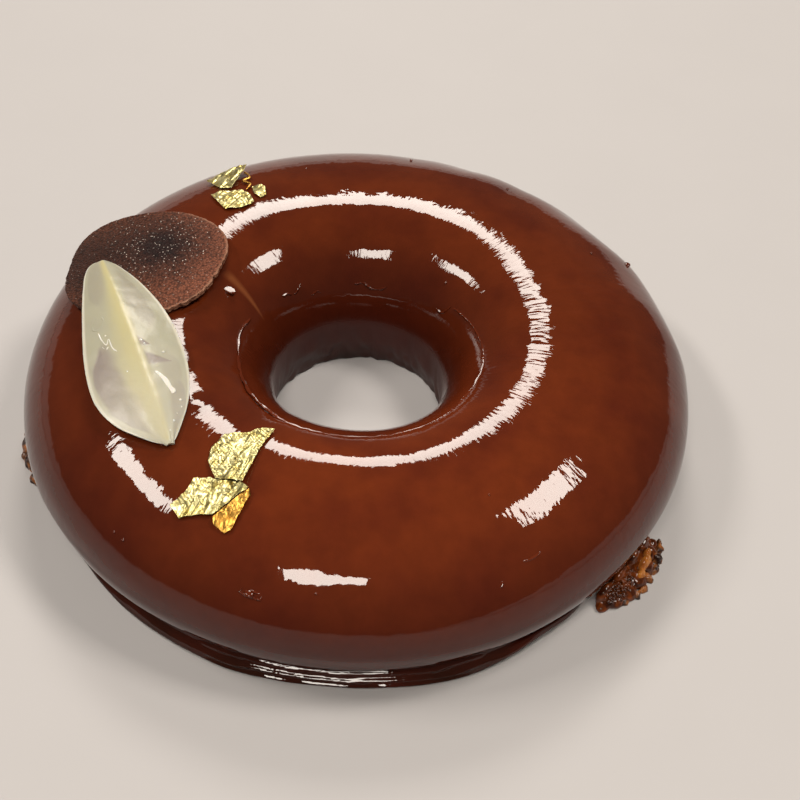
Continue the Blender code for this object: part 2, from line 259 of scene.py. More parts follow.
@dataclass(frozen=True)
class RingShape:
    """The glazed ring's measured shape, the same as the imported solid's."""

    outer_radius: float = 100.0
    height: float = 43.4
    crest_radius: float = 55.7
    hole_radius: float = 25.1
    widest_height: float = 16.4
    waist_height: float = 9.5
    outer_fullness: float = 2.14
    inner_fullness: float = 2.02
    foot_radius: float = 92.6
    inner_foot_radius: float = 26.6
    underside: float = 4.0
    edge_height: float = 0.3
    # The two skirts of glaze over the foot: middle azimuth and half spread
    front_skirt: Point = (-97.0, 46.0)
    back_skirt: Point = (84.0, 40.0)
    fade: float = 16.0
    lip_radius: float = 97.2
    wall: float = 3.0
    # How much wider the glaze pooled, and the azimuth and length of the pool's start and end
    pool: float = 4.2
    pool_start: Point = (-112.0, 7.0)
    pool_end: Point = (-72.0, 24.0)
    # The pool at the back: half spread, fade and share of the width
    back_pool: Place = (12.0, 24.0, 0.8)
    lip_ripple: float = 0.3

    def outer_swell(self, azimuth: float) -> float:
        """How far the outer side bulges at an azimuth."""
        turn = math.radians(azimuth)
        return 0.32 * math.sin(2.0 * turn + 0.7) + 0.22 * math.sin(5.0 * turn + 2.1)

    def crest_swell(self, azimuth: float) -> float:
        """How far the top rises at an azimuth."""
        turn = math.radians(azimuth)
        return 0.22 * math.sin(3.0 * turn + 1.0) + 0.12 * math.sin(7.0 * turn + 0.4)

    def top(self, x: float, y: float) -> float:
        """Height of the upper surface above a point of the plan.

        Args:
            x: The point's x.
            y: The point's y.

        Returns:
            The height in millimetres.
        """
        azimuth = math.degrees(math.atan2(y, x))
        offset = math.hypot(x, y) - self.crest_radius
        if offset >= 0.0:
            half_width = self.outer_radius + self.outer_swell(azimuth) - self.crest_radius
            foot, fullness = self.widest_height, self.outer_fullness
        else:
            half_width = self.crest_radius - self.hole_radius
            foot, fullness = self.waist_height, self.inner_fullness
        share = min(abs(offset) / half_width, 1.0)
        height = foot + (self.height - foot) * (1.0 - share ** fullness) ** (1.0 / fullness)
        return height * (1.0 + self.crest_swell(azimuth) / self.height)

    def spot(self, x: float, y: float) -> Vector:
        """The place of the upper surface above a point of the plan."""
        return Vector((x, y, self.top(x, y)))

    def skirt(self, azimuth: float) -> tuple[float, float, float]:
        """The glaze skirt at an azimuth.

        Args:
            azimuth: Where round the ring.

        Returns:
            How far the skirt reaches out and down, from 0 to 1, and its lip's radius.
        """
        reach, drop = 0.0, 0.0
        for middle, half_spread in (self.front_skirt, self.back_skirt):
            reach = max(reach, window(azimuth, middle, half_spread, self.fade))
            drop = max(drop, window(azimuth, middle, half_spread - self.fade, self.fade * 0.8))
        starting = smooth_step((azimuth - self.pool_start[0]) / self.pool_start[1])
        ending = smooth_step((azimuth - self.pool_end[0]) / self.pool_end[1])
        front = starting * (1.0 - ending)
        half_spread, fade, share = self.back_pool
        back = window(azimuth, self.back_skirt[0], half_spread, fade) * share
        ripple = self.lip_ripple * math.sin(9.0 * math.radians(azimuth))
        return reach, drop, self.lip_radius + self.pool * max(front, back) + ripple


# Finishes


@dataclass(frozen=True)
class RingSockets:
    """Where a shaded point of the ring lies, as sockets that the glaze's patterns read."""

    tree: bpy.types.NodeTree
    place: bpy.types.NodeSocket
    height: bpy.types.NodeSocket
    # Straight out from the ring's axis, and how far out
    heading: bpy.types.NodeSocket
    radius: bpy.types.NodeSocket

    @classmethod
    def of(cls, tree: bpy.types.NodeTree) -> RingSockets:
        """Add the nodes that tell where a point lies.

        Args:
            tree: The glaze's node tree.

        Returns:
            Their sockets.
        """
        place = add_node(tree, "ShaderNodeTexCoord").outputs["Object"]
        height = add_node(tree, "ShaderNodeSeparateXYZ", {0: place}).outputs["Z"]
        plan = add_node(tree, "ShaderNodeVectorMath", {0: place, 1: (1.0, 1.0, 0.0)},
                        operation="MULTIPLY").outputs["Vector"]
        heading = add_node(tree, "ShaderNodeVectorMath", {0: plan}, operation="NORMALIZE")
        radius = add_node(tree, "ShaderNodeVectorMath", {0: plan}, operation="LENGTH")
        return cls(tree, place, height, heading.outputs["Vector"], radius.outputs["Value"])

    def towards(self, azimuth: float) -> bpy.types.NodeSocket:
        """Say how near a point lies to an azimuth.

        Args:
            azimuth: The azimuth.

        Returns:
            The socket, 1 at that azimuth and -1 on the ring's other side.
        """
        turn = math.radians(azimuth)
        return add_node(self.tree, "ShaderNodeVectorMath", {
            0: self.heading, 1: (math.cos(turn), math.sin(turn), 0.0)},
            operation="DOT_PRODUCT").outputs["Value"]


@dataclass(frozen=True)
class MirrorGlaze:
    """Cocoa, syrup and gelatine poured warm and set to a wet-looking skin."""

    crest: str = "#5c250f"
    sides: str = "#3a130b"
    foot: str = "#2a1209"
    cloudy: str = "#43160c"
    milky: str = "#7c4526"
    roughness: float = 0.03
    dull_roughness: float = 0.5
    ior: float = 1.42
    # Heights between which the colour turns browner towards the crest, and darker towards the foot
    crest_heights: Point = (14.0, 43.0)
    foot_heights: Point = (2.0, 10.0)
    # Sizes of the patterns: clouds and blotches in the colour, waves and marks in the skin
    cloud: float = 22.0
    mottle: float = 6.0
    wave: float = 5.0
    run: float = 1.2
    stroke: float = 2.4
    patch: float = 8.0
    wave_depth: float = 0.07
    mark_depth: float = 0.036
    # The radius where a run mark has its real width, and how much slower it changes lengthwise
    run_radius: float = 60.0
    run_stretch: float = 0.28
    # The coarse strokes: middle azimuth, heights between which they set in, and their strength
    stroke_azimuth: float = -4.0
    stroke_heights: Point = (36.0, 42.0)
    stroke_strength: float = 6.0
    # The side of the ring that gets painted light, and how much lighter the painted light makes it
    painted_light_azimuth: float = -72.0
    lighter: float = 1.3
    # Radii and heights between which the glaze turns dull in the hole
    dull_radii: Point = (33.0, 27.0)
    dull_heights: Point = (22.0, 14.0)
    # A streak of caramel stirred into the glaze: its start and end, and half widths there
    streak_start: Place = (-43.0, 19.8, 41.0)
    streak_end: Place = (-29.2, 10.6, 30.5)
    streak_half_widths: Point = (2.2, 0.3)

    def material(self) -> bpy.types.Material:
        """Make the glaze: a sharp gloss over deep red-brown, deeper down the sides and at the foot.

        Returns:
            The finished material.
        """
        material, tree, shader = new_finish("Poured chocolate mirror glaze")
        at = RingSockets.of(tree)
        tree.links.new(self.tint(at), shader.inputs["Base Color"])
        tree.links.new(self.skin(at), shader.inputs["Normal"])
        tree.links.new(self.gloss(at), shader.inputs["Roughness"])
        shader.inputs["IOR"].default_value = self.ior
        return material

    def tint(self, at: RingSockets) -> bpy.types.NodeSocket:
        """Colour the glaze: browner on the crest, darker down the sides and at the foot, with
        painted light on one side.

        Args:
            at: Where the shaded point lies.

        Returns:
            The colour's socket.
        """
        crest_share = add_node(at.tree, "ShaderNodeMapRange", {
            "Value": at.height, "From Min": self.crest_heights[0] * MM,
            "From Max": self.crest_heights[1] * MM})
        sloped = add_node(at.tree, "ShaderNodeMix", {
            0: crest_share.outputs["Result"], 6: srgb(self.sides), 7: srgb(self.crest)},
            data_type="RGBA")
        foot_share = add_node(at.tree, "ShaderNodeMapRange", {
            "Value": at.height, "From Min": self.foot_heights[0] * MM,
            "From Max": self.foot_heights[1] * MM})
        footed = add_node(at.tree, "ShaderNodeMix", {
            0: foot_share.outputs["Result"], 6: srgb(self.foot), 7: sloped.outputs[2]},
            data_type="RGBA")
        cloud = add_node(at.tree, "ShaderNodeTexNoise", {
            "Vector": at.place, "Scale": 1.0 / (self.cloud * MM), "Detail": 3.0})
        depth = add_node(at.tree, "ShaderNodeMapRange", {
            "Value": cloud.outputs["Fac"], "From Min": 0.42, "From Max": 0.68,
            "To Max": 0.6})
        clouded = add_node(at.tree, "ShaderNodeMix", {
            0: depth.outputs["Result"], 6: footed.outputs[2], 7: srgb(self.cloudy)},
            data_type="RGBA")
        streaked = add_node(at.tree, "ShaderNodeMix", {
            0: self.streak(at), 6: clouded.outputs[2], 7: srgb(self.milky)},
            data_type="RGBA")
        # Painted light on one side of the ring, and random blotches
        lit = add_node(at.tree, "ShaderNodeMix", {
            0: 1.0, 6: streaked.outputs[2], 7: self.painted_light_and_mottle(at)},
            data_type="RGBA", blend_type="MULTIPLY")
        return lit.outputs[2]

    def painted_light_and_mottle(self, at: RingSockets) -> bpy.types.NodeSocket:
        """Say how much lighter or darker the glaze is painted: painted light on one side, and
        random blotches.

        Args:
            at: Where the shaded point lies.

        Returns:
            The socket with the factor, about 1.
        """
        # Painted light: lighter towards the side that faces the painted-light azimuth
        side = add_node(at.tree, "ShaderNodeMapRange", {
            "Value": at.towards(self.painted_light_azimuth), "From Min": 0.3, "From Max": 1.0,
            "To Min": 1.0, "To Max": self.lighter})
        mottle = add_node(at.tree, "ShaderNodeTexNoise", {
            "Vector": at.place, "Scale": 1.0 / (self.mottle * MM), "Detail": 5.0,
            "Roughness": 0.62})
        blotch = add_node(at.tree, "ShaderNodeMapRange", {
            "Value": mottle.outputs["Fac"], "From Min": 0.35, "From Max": 0.65,
            "To Min": 0.93, "To Max": 1.07})
        return add_node(at.tree, "ShaderNodeMath", {
            0: side.outputs["Result"], 1: blotch.outputs["Result"]},
            operation="MULTIPLY").outputs[0]

    def streak(self, at: RingSockets) -> bpy.types.NodeSocket:
        """Say how much caramel the glaze holds.

        Args:
            at: Where the shaded point lies.

        Returns:
            The socket with the share, from 0 to 1.
        """
        start, end = Vector(self.streak_start), Vector(self.streak_end)
        heading = (end - start).normalized()
        across = heading.cross((0.0, 0.0, 1.0)).normalized()
        length = (end - start).length
        offset = add_node(at.tree, "ShaderNodeVectorMath", {0: at.place, 1: start * MM},
                          operation="SUBTRACT").outputs["Vector"]
        run = add_node(at.tree, "ShaderNodeVectorMath", {0: offset, 1: heading},
                       operation="DOT_PRODUCT").outputs["Value"]
        aside = add_node(at.tree, "ShaderNodeVectorMath", {0: offset, 1: across},
                         operation="DOT_PRODUCT").outputs["Value"]
        apart = add_node(at.tree, "ShaderNodeMath", {0: aside}, operation="ABSOLUTE")
        half_width = add_node(at.tree, "ShaderNodeMapRange", {
            "Value": run, "From Max": length * MM,
            "To Min": self.streak_half_widths[0] * MM, "To Max": self.streak_half_widths[1] * MM})
        share = add_node(at.tree, "ShaderNodeMath", {
            0: apart.outputs[0], 1: half_width.outputs["Result"]}, operation="DIVIDE")
        amount = add_node(at.tree, "ShaderNodeMapRange", {
            "Value": share.outputs[0], "From Min": 1.0, "From Max": 0.2, "To Max": 0.8})
        # It fades in over its first 3 mm and out over its last 5 mm
        for near, far in ((0.0, 3.0), (length, length - 5.0)):
            ended = add_node(at.tree, "ShaderNodeMapRange", {
                "Value": run, "From Min": near * MM, "From Max": far * MM})
            amount = add_node(at.tree, "ShaderNodeMath", {
                0: amount.outputs[0], 1: ended.outputs["Result"]}, operation="MULTIPLY")
        return amount.outputs[0]

    def skin(self, at: RingSockets) -> bpy.types.NodeSocket:
        """Make the skin uneven with broad waves and the marks of the flow.

        Args:
            at: Where the shaded point lies.

        Returns:
            The normal's socket.
        """
        wave = add_node(at.tree, "ShaderNodeTexNoise", {
            "Vector": at.place, "Scale": 1.0 / (self.wave * MM), "Detail": 2.0})
        broad = add_node(at.tree, "ShaderNodeBump", {
            "Height": wave.outputs["Fac"], "Strength": 1.0, "Distance": self.wave_depth * MM})
        # The glaze flowed down both slopes, so its marks follow the radius
        drift = add_node(at.tree, "ShaderNodeCombineXYZ", {"Z": at.radius})
        slow = add_node(at.tree, "ShaderNodeVectorMath", {
            0: drift.outputs[0], 1: (0.0, 0.0, self.run_stretch)}, operation="MULTIPLY")
        along = add_node(at.tree, "ShaderNodeVectorMath", {
            0: at.heading, 1: (self.run_radius * MM,) * 3, 2: slow.outputs["Vector"]},
            operation="MULTIPLY_ADD").outputs["Vector"]
        drag = add_node(at.tree, "ShaderNodeTexNoise", {
            "Vector": along, "Scale": 1.0 / (self.run * MM), "Detail": 2.0})
        patch = add_node(at.tree, "ShaderNodeTexNoise", {
            "Vector": at.place, "Scale": 1.0 / (self.patch * MM), "Detail": 1.0})
        rough = add_node(at.tree, "ShaderNodeMapRange", {
            "Value": patch.outputs["Fac"], "From Min": 0.38, "From Max": 0.65,
            "To Min": 0.6, "To Max": 2.0})
        uneven = add_node(at.tree, "ShaderNodeMath", {
            0: drag.outputs["Fac"], 1: rough.outputs["Result"]}, operation="MULTIPLY")
        marks = add_node(at.tree, "ShaderNodeMath", {
            0: self.strokes(at, along), 1: self.stroke_strength, 2: uneven.outputs[0]},
            operation="MULTIPLY_ADD")
        return add_node(at.tree, "ShaderNodeBump", {
            "Height": marks.outputs[0], "Strength": 1.0, "Distance": self.mark_depth * MM,
            "Normal": broad.outputs["Normal"]}).outputs["Normal"]

    def strokes(self, at: RingSockets, along: bpy.types.NodeSocket) -> bpy.types.NodeSocket:
        """Make the coarser strokes that the glaze set in on one side of the crest.

        Args:
            at: Where the shaded point lies.
            along: The place, drawn out along the flow.

        Returns:
            The socket with their height.
        """
        coarse = add_node(at.tree, "ShaderNodeMapRange", {
            "Value": at.towards(self.stroke_azimuth), "From Min": 0.76, "From Max": 0.96,
            "To Min": 0.1, "To Max": 1.0})
        upper = add_node(at.tree, "ShaderNodeMapRange", {
            "Value": at.height, "From Min": self.stroke_heights[0] * MM,
            "From Max": self.stroke_heights[1] * MM})
        reach = add_node(at.tree, "ShaderNodeMath", {
            0: coarse.outputs["Result"], 1: upper.outputs["Result"]}, operation="MULTIPLY")
        stroke = add_node(at.tree, "ShaderNodeTexNoise", {
            "Vector": along, "Scale": 1.0 / (self.stroke * MM), "Detail": 1.0})
        return add_node(at.tree, "ShaderNodeMath", {
            0: stroke.outputs["Fac"], 1: reach.outputs[0]}, operation="MULTIPLY").outputs[0]

    def gloss(self, at: RingSockets) -> bpy.types.NodeSocket:
        """Keep the glaze sharp all over but low in the hole, where it drained thin and set dull.

        Args:
            at: Where the shaded point lies.

        Returns:
            The roughness's socket.
        """
        inside = add_node(at.tree, "ShaderNodeMapRange", {
            "Value": at.radius, "From Min": self.dull_radii[0] * MM,
            "From Max": self.dull_radii[1] * MM})
        sunk = add_node(at.tree, "ShaderNodeMapRange", {
            "Value": at.height, "From Min": self.dull_heights[0] * MM,
            "From Max": self.dull_heights[1] * MM,
            "To Max": self.dull_roughness - self.roughness})
        return add_node(at.tree, "ShaderNodeMath", {
            0: inside.outputs["Result"], 1: sunk.outputs["Result"], 2: self.roughness},
            operation="MULTIPLY_ADD").outputs[0]


@dataclass(frozen=True)
class PralineCrunch:
    """Nut brittle and wafer flakes bound with cooked sugar."""

    sugar: str = "#9c5e2a"
    roast: str = "#2c1308"
    roughness: float = 0.28
    ior: float = 1.5
    # Sizes of the flakes, of the roasted clouds and of the grit, and the grit's depth
    flake: float = 2.2
    cloud: float = 3.08
    grit: float = 0.5
    grit_depth: float = 0.18

    def material(self) -> bpy.types.Material:
        """Make the crunch: amber to dark brown lumps with a sticky shine and a rough grain.

        Returns:
            The finished material.
        """
        material, tree, shader = new_finish("Caramelised praline crunch")
        place = add_node(tree, "ShaderNodeTexCoord").outputs["Object"]
        flake = add_node(tree, "ShaderNodeTexVoronoi", {
            "Vector": place, "Scale": 1.0 / (self.flake * MM)})
        cloud = add_node(tree, "ShaderNodeTexNoise", {
            "Vector": place, "Scale": 1.0 / (self.cloud * MM), "Detail": 4.0})
        share = add_node(tree, "ShaderNodeMath", {
            0: flake.outputs["Distance"], 1: cloud.outputs["Fac"]}, operation="MULTIPLY")
        roast = add_node(tree, "ShaderNodeMapRange", {
            "Value": share.outputs[0], "From Min": 0.12, "From Max": 0.34})
        tint = add_node(tree, "ShaderNodeMix", {
            0: roast.outputs["Result"], 6: srgb(self.sugar), 7: srgb(self.roast)},
            data_type="RGBA")
        grit = add_node(tree, "ShaderNodeTexNoise", {
            "Vector": place, "Scale": 1.0 / (self.grit * MM), "Detail": 3.0})
        grain = add_node(tree, "ShaderNodeBump", {
            "Height": grit.outputs["Fac"], "Strength": 1.0, "Distance": self.grit_depth * MM})
        tree.links.new(tint.outputs[2], shader.inputs["Base Color"])
        tree.links.new(grain.outputs["Normal"], shader.inputs["Normal"])
        shader.inputs["Roughness"].default_value = self.roughness
        shader.inputs["IOR"].default_value = self.ior
        return material


@dataclass(frozen=True)
class Caramel:
    """Cooked sugar that ran out and set clear and glossy."""

    name: str
    thick: str
    # The lighter colour of thin places, and of the painted glow at the edges
    edge: str
    roughness: float = 0.1
    ior: float = 1.49
    cloud: float = 3.0

    def material(self) -> bpy.types.Material:
        """Make the caramel: clear brown, lighter where it is thin, with a painted glow where it
        faces away.

        Returns:
            The finished material.
        """
        material, tree, shader = new_finish(self.name)
        facing = add_node(tree, "ShaderNodeLayerWeight", {"Blend": 0.35}).outputs["Facing"]
        place = add_node(tree, "ShaderNodeTexCoord").outputs["Object"]
        cloud = add_node(tree, "ShaderNodeTexNoise", {
            "Vector": place, "Scale": 1.0 / (self.cloud * MM), "Detail": 3.0})
        share = add_node(tree, "ShaderNodeMapRange", {
            "Value": cloud.outputs["Fac"], "From Min": 0.48, "From Max": 0.68})
        tint = add_node(tree, "ShaderNodeMix", {
            0: share.outputs["Result"], 6: srgb(self.thick), 7: srgb(self.edge)},
            data_type="RGBA")
        # Painted glow: lighter where the surface faces away from the camera
        edged = add_node(tree, "ShaderNodeMix", {
            0: facing, 6: tint.outputs[2], 7: srgb(self.edge)}, data_type="RGBA")
        tree.links.new(edged.outputs[2], shader.inputs["Base Color"])
        shader.inputs["Roughness"].default_value = self.roughness
        shader.inputs["IOR"].default_value = self.ior
        return material


@dataclass(frozen=True)
class DarkChocolate:
    """Tempered dark chocolate spread on a rough sheet and dusted with dark cocoa."""

    plain: str = "#84503c"
    plain_far: str = "#583121"
    painted_glint: str = "#efe2d6"
    dust: str = "#281513"
    bare: str = "#3d1f14"
    # Colour of the painted highlight along the edge
    edge: str = "#a67a62"
    roughness: float = 0.48
    ior: float = 1.25
    # Sizes of the cocoa grit, of the sugar crystals and of the clouds, and the grit's depth
    grit: float = 0.75
    glint: float = 0.8
    cloud: float = 5.0
    grit_depth: float = 0.5
    # Where the dust lies thick, and how far its edge wanders
    dust_middle: Place = (-62.0, 25.5, 44.0)
    dust_radius: float = 20.0
    dust_wander: float = 9.0
    # Where the chocolate is bare, and the x between which it gets paler
    bare_middle: Place = (-85.0, 20.0, 42.0)
    bare_radius: float = 18.0
    paler: Point = (-74.0, -50.0)

    def material(self) -> bpy.types.Material:
        """Make the chocolate: satin brown and gritty, with black cocoa dust, painted sugar glints
        and a painted highlight along its edge.

        Returns:
            The finished material.
        """
        material, tree, shader = new_finish("Dusted dark chocolate")
        place = add_node(tree, "ShaderNodeTexCoord").outputs["Object"]
        dusted = self.dusted(tree, place)
        dark = add_node(tree, "ShaderNodeMix", {
            0: dusted, 6: self.ground(tree, place), 7: srgb(self.dust)}, data_type="RGBA")
        grit = add_node(tree, "ShaderNodeTexVoronoi", {
            "Vector": place, "Scale": 1.0 / (self.grit * MM)}).outputs["Distance"]
        pits = add_node(tree, "ShaderNodeMapRange", {
            "Value": grit, "From Min": 0.1, "From Max": 0.75, "To Min": 1.35, "To Max": 0.4})
        pitted = add_node(tree, "ShaderNodeMix", {
            0: 1.0, 6: dark.outputs[2], 7: pits.outputs["Result"]},
            data_type="RGBA", blend_type="MULTIPLY")
        # Painted glints: whitish specks in the colour
        tint = add_node(tree, "ShaderNodeMix", {
            0: self.glints(tree, place, dusted), 6: pitted.outputs[2],
            7: srgb(self.painted_glint)}, data_type="RGBA")
        # Painted highlight: a pale line along part of the edge
        edge = add_node(tree, "ShaderNodeAttribute", attribute_name="edge").outputs["Fac"]
        edged = add_node(tree, "ShaderNodeMix", {
            0: edge, 6: tint.outputs[2], 7: srgb(self.edge)}, data_type="RGBA")
        grain = add_node(tree, "ShaderNodeBump", {
            "Height": grit, "Strength": 1.0, "Distance": self.grit_depth * MM})
        tree.links.new(edged.outputs[2], shader.inputs["Base Color"])
        tree.links.new(grain.outputs["Normal"], shader.inputs["Normal"])
        shader.inputs["Roughness"].default_value = self.roughness
        shader.inputs["IOR"].default_value = self.ior
        return material

    def dusted(self, tree: bpy.types.NodeTree,
               place: bpy.types.NodeSocket) -> bpy.types.NodeSocket:
        """Say how thick the cocoa dust lies.

        Args:
            tree: The chocolate's node tree.
            place: The place's socket.

        Returns:
            The socket with the share, from 0 to 1.
        """
        away = add_node(tree, "ShaderNodeVectorMath", {
            0: place, 1: Vector(self.dust_middle) * MM}, operation="DISTANCE")
        cloud = add_node(tree, "ShaderNodeTexNoise", {
            "Vector": place, "Scale": 1.0 / (self.cloud * MM), "Detail": 4.0})
        wander = add_node(tree, "ShaderNodeMath", {
            0: cloud.outputs["Fac"], 1: self.dust_wander * MM, 2: away.outputs["Value"]},
            operation="MULTIPLY_ADD")
        return add_node(tree, "ShaderNodeMapRange", {
            "Value": wander.outputs[0], "From Min": self.dust_radius * 0.45 * MM,
            "From Max": self.dust_radius * 1.25 * MM, "To Min": 1.0,
            "To Max": 0.0}).outputs["Result"]

    def ground(self, tree: bpy.types.NodeTree,
               place: bpy.types.NodeSocket) -> bpy.types.NodeSocket:
        """Colour the chocolate under the dust: paler towards the hole, dark where it is bare.

        Args:
            tree: The chocolate's node tree.
            place: The place's socket.

        Returns:
            The colour's socket.
        """
        side = add_node(tree, "ShaderNodeSeparateXYZ", {0: place})
        paler = add_node(tree, "ShaderNodeMapRange", {
            "Value": side.outputs["X"], "From Min": self.paler[0] * MM,
            "From Max": self.paler[1] * MM})
        spread = add_node(tree, "ShaderNodeMix", {
            0: paler.outputs["Result"], 6: srgb(self.plain_far), 7: srgb(self.plain)},
            data_type="RGBA")
        away = add_node(tree, "ShaderNodeVectorMath", {
            0: place, 1: Vector(self.bare_middle) * MM}, operation="DISTANCE")
        bare = add_node(tree, "ShaderNodeMapRange", {
            "Value": away.outputs["Value"], "From Min": self.bare_radius * 0.4 * MM,
            "From Max": self.bare_radius * MM, "To Min": 1.0, "To Max": 0.0})
        return add_node(tree, "ShaderNodeMix", {
            0: bare.outputs["Result"], 6: spread.outputs[2], 7: srgb(self.bare)},
            data_type="RGBA").outputs[2]

    def glints(self, tree: bpy.types.NodeTree, place: bpy.types.NodeSocket,
               dusted: bpy.types.NodeSocket) -> bpy.types.NodeSocket:
        """Paint glints of sugar crystals into the colour here and there, more of them in the dust.

        Args:
            tree: The chocolate's node tree.
            place: The place's socket.
            dusted: The socket that says how thick the dust lies.

        Returns:
            The socket with a glint's strength.
        """
        crystal = add_node(tree, "ShaderNodeTexVoronoi", {
            "Vector": place, "Scale": 1.0 / (self.glint * MM)})
        speck = add_node(tree, "ShaderNodeMapRange", {
            "Value": crystal.outputs["Distance"], "From Min": 0.27, "From Max": 0.15})
        chance = add_node(tree, "ShaderNodeSeparateXYZ", {0: crystal.outputs["Color"]})
        odds = add_node(tree, "ShaderNodeMath", {
            0: dusted, 1: 0.55, 2: chance.outputs["X"]}, operation="MULTIPLY_ADD")
        lit = add_node(tree, "ShaderNodeMapRange", {
            "Value": odds.outputs[0], "From Min": 0.78, "From Max": 1.15})
        glint = add_node(tree, "ShaderNodeMath", {
            0: speck.outputs["Result"], 1: lit.outputs["Result"]}, operation="MULTIPLY")
        return add_node(tree, "ShaderNodeMath", {
            0: glint.outputs[0], 1: 0.8}, operation="MULTIPLY").outputs[0]

class LeafMark(Enum):
    """The leaf's own attributes that its finish reads, in the order of the colours. Thin also
    carries the painted shadows beside the rib, and rim the painted light at the tip.
    """

    RIB = "rib"
    THIN = "thin"
    RIM = "rim"


@dataclass(frozen=True)
class WhiteChocolate:
    """White chocolate cast thin in a leaf mould, cloudy and a little see-through."""

    name: str = "Cast white chocolate"
    cream: str = "#aaa893"
    rib: str = "#c2ba8a"
    # The thin colour also paints the shadows beside the rib, and the rim colour the light at the
    # tip
    thin: str = "#877c76"
    rim: str = "#cfccbd"
    roughness: float = 0.3
    ior: float = 1.46
    # Size and depth of the skin's waves
    wave: float = 2.6
    wave_depth: float = 0.08
    # How much light sinks in, how far each colour spreads, and over how many millimetres
    glow: float = 0.35
    glow_spread: Place = (1.0, 0.8, 0.5)
    glow_depth: float = 0.8

    def material(self) -> bpy.types.Material:
        """Make the leaf: greyish cream, yellower along the rib, greyer where it is thin and in
        painted shadows beside the rib, paler at the rim and with painted light at the tip.

        Returns:
            The finished material.
        """
        material, tree, shader = new_finish(self.name)
        place = add_node(tree, "ShaderNodeTexCoord").outputs["Object"]
        rib, thin, rim = (
            add_node(tree, "ShaderNodeAttribute", attribute_name=mark.value).outputs["Fac"]
            for mark in LeafMark)
        tint = add_node(tree, "ShaderNodeMix", {
            0: rib, 6: srgb(self.cream), 7: srgb(self.rib)}, data_type="RGBA")
        # The thin share holds painted shadows too, and the rim share painted light at the tip
        greyed = add_node(tree, "ShaderNodeMix", {
            0: thin, 6: tint.outputs[2], 7: srgb(self.thin)}, data_type="RGBA")
        edged = add_node(tree, "ShaderNodeMix", {
            0: rim, 6: greyed.outputs[2], 7: srgb(self.rim)}, data_type="RGBA")
        waves = add_node(tree, "ShaderNodeTexNoise", {
            "Vector": place, "Scale": 1.0 / (self.wave * MM), "Detail": 3.0})
        skin = add_node(tree, "ShaderNodeBump", {
            "Height": waves.outputs["Fac"], "Strength": 1.0, "Distance": self.wave_depth * MM})
        tree.links.new(edged.outputs[2], shader.inputs["Base Color"])
        tree.links.new(skin.outputs["Normal"], shader.inputs["Normal"])
        shader.inputs["Roughness"].default_value = self.roughness
        shader.inputs["IOR"].default_value = self.ior
        shader.inputs["Subsurface Weight"].default_value = self.glow
        shader.inputs["Subsurface Radius"].default_value = self.glow_spread
        shader.inputs["Subsurface Scale"].default_value = self.glow_depth * MM
        return material


@dataclass(frozen=True)
class GoldLeaf:
    """Beaten edible gold, thinner than paper, laid down crumpled."""

    name: str = "Beaten gold leaf"
    metal: str = "#e9e0a2"
    shade: str = "#d2bc68"
    # Colour of the painted shade in the creases
    crease: str = "#4c3c12"
    roughness: float = 0.36
    # Sizes of the clouds and of the fine wrinkles, and the wrinkles' depth
    cloud: float = 2.4
    wrinkle: float = 0.8
    wrinkle_depth: float = 0.07

    def material(self) -> bpy.types.Material:
        """Make the gold: bright metal broken up by countless fine wrinkles, with painted shade in
        its creases.

        Returns:
            The finished material.
        """
        material, tree, shader = new_finish(self.name)
        place = add_node(tree, "ShaderNodeTexCoord").outputs["Object"]
        cloud = add_node(tree, "ShaderNodeTexNoise", {
            "Vector": place, "Scale": 1.0 / (self.cloud * MM), "Detail": 4.0})
        share = add_node(tree, "ShaderNodeMapRange", {
            "Value": cloud.outputs["Fac"], "From Min": 0.45, "From Max": 0.7})
        tint = add_node(tree, "ShaderNodeMix", {
            0: share.outputs["Result"], 6: srgb(self.metal), 7: srgb(self.shade)},
            data_type="RGBA")
        # Painted shade in the creases and under folds
        crease = add_node(tree, "ShaderNodeAttribute", attribute_name="crease").outputs["Fac"]
        crease_shaded_tint = add_node(tree, "ShaderNodeMix", {
            0: crease, 6: tint.outputs[2], 7: srgb(self.crease)}, data_type="RGBA")
        wrinkle = add_node(tree, "ShaderNodeTexNoise", {
            "Vector": place, "Scale": 1.0 / (self.wrinkle * MM), "Detail": 3.0,
            "Distortion": 0.6})
        folded = add_node(tree, "ShaderNodeMath", {
            0: wrinkle.outputs["Fac"], 1: 0.22}, operation="PINGPONG")
        creased = add_node(tree, "ShaderNodeBump", {
            "Height": folded.outputs[0], "Strength": 1.0, "Distance": self.wrinkle_depth * MM})
        tree.links.new(crease_shaded_tint.outputs[2], shader.inputs["Base Color"])
        tree.links.new(creased.outputs["Normal"], shader.inputs["Normal"])
        shader.inputs["Metallic"].default_value = 1.0
        shader.inputs["Roughness"].default_value = self.roughness
        return material


BURNT_CARAMEL = Caramel("Burnt caramel", "#2e1208", "#7a3a14")
AMBER_CARAMEL = Caramel("Amber caramel", "#8a4a1a", "#c07a32")
# Near-white drips and bubbles: white chocolate, their pale colour partly a painted highlight
WET_WHITE_AND_HIGHLIGHT = WhiteChocolate("Wet white chocolate", "#e6e4da", roughness=0.06)
# A darker, oranger copy of the gold: painted shade for the fold and the strand
SHADED_GOLD = GoldLeaf("Beaten gold leaf in painted shade", "#d8a650", "#9a6a26")


# Studio


@dataclass(frozen=True)
class CeilingPanel:
    """One square light panel in the ceiling, in metres and degrees, seen from the cake."""

    name: str
    azimuth: float
    elevation: float
    width: float
    depth: float
    radiance: float
    turn: float


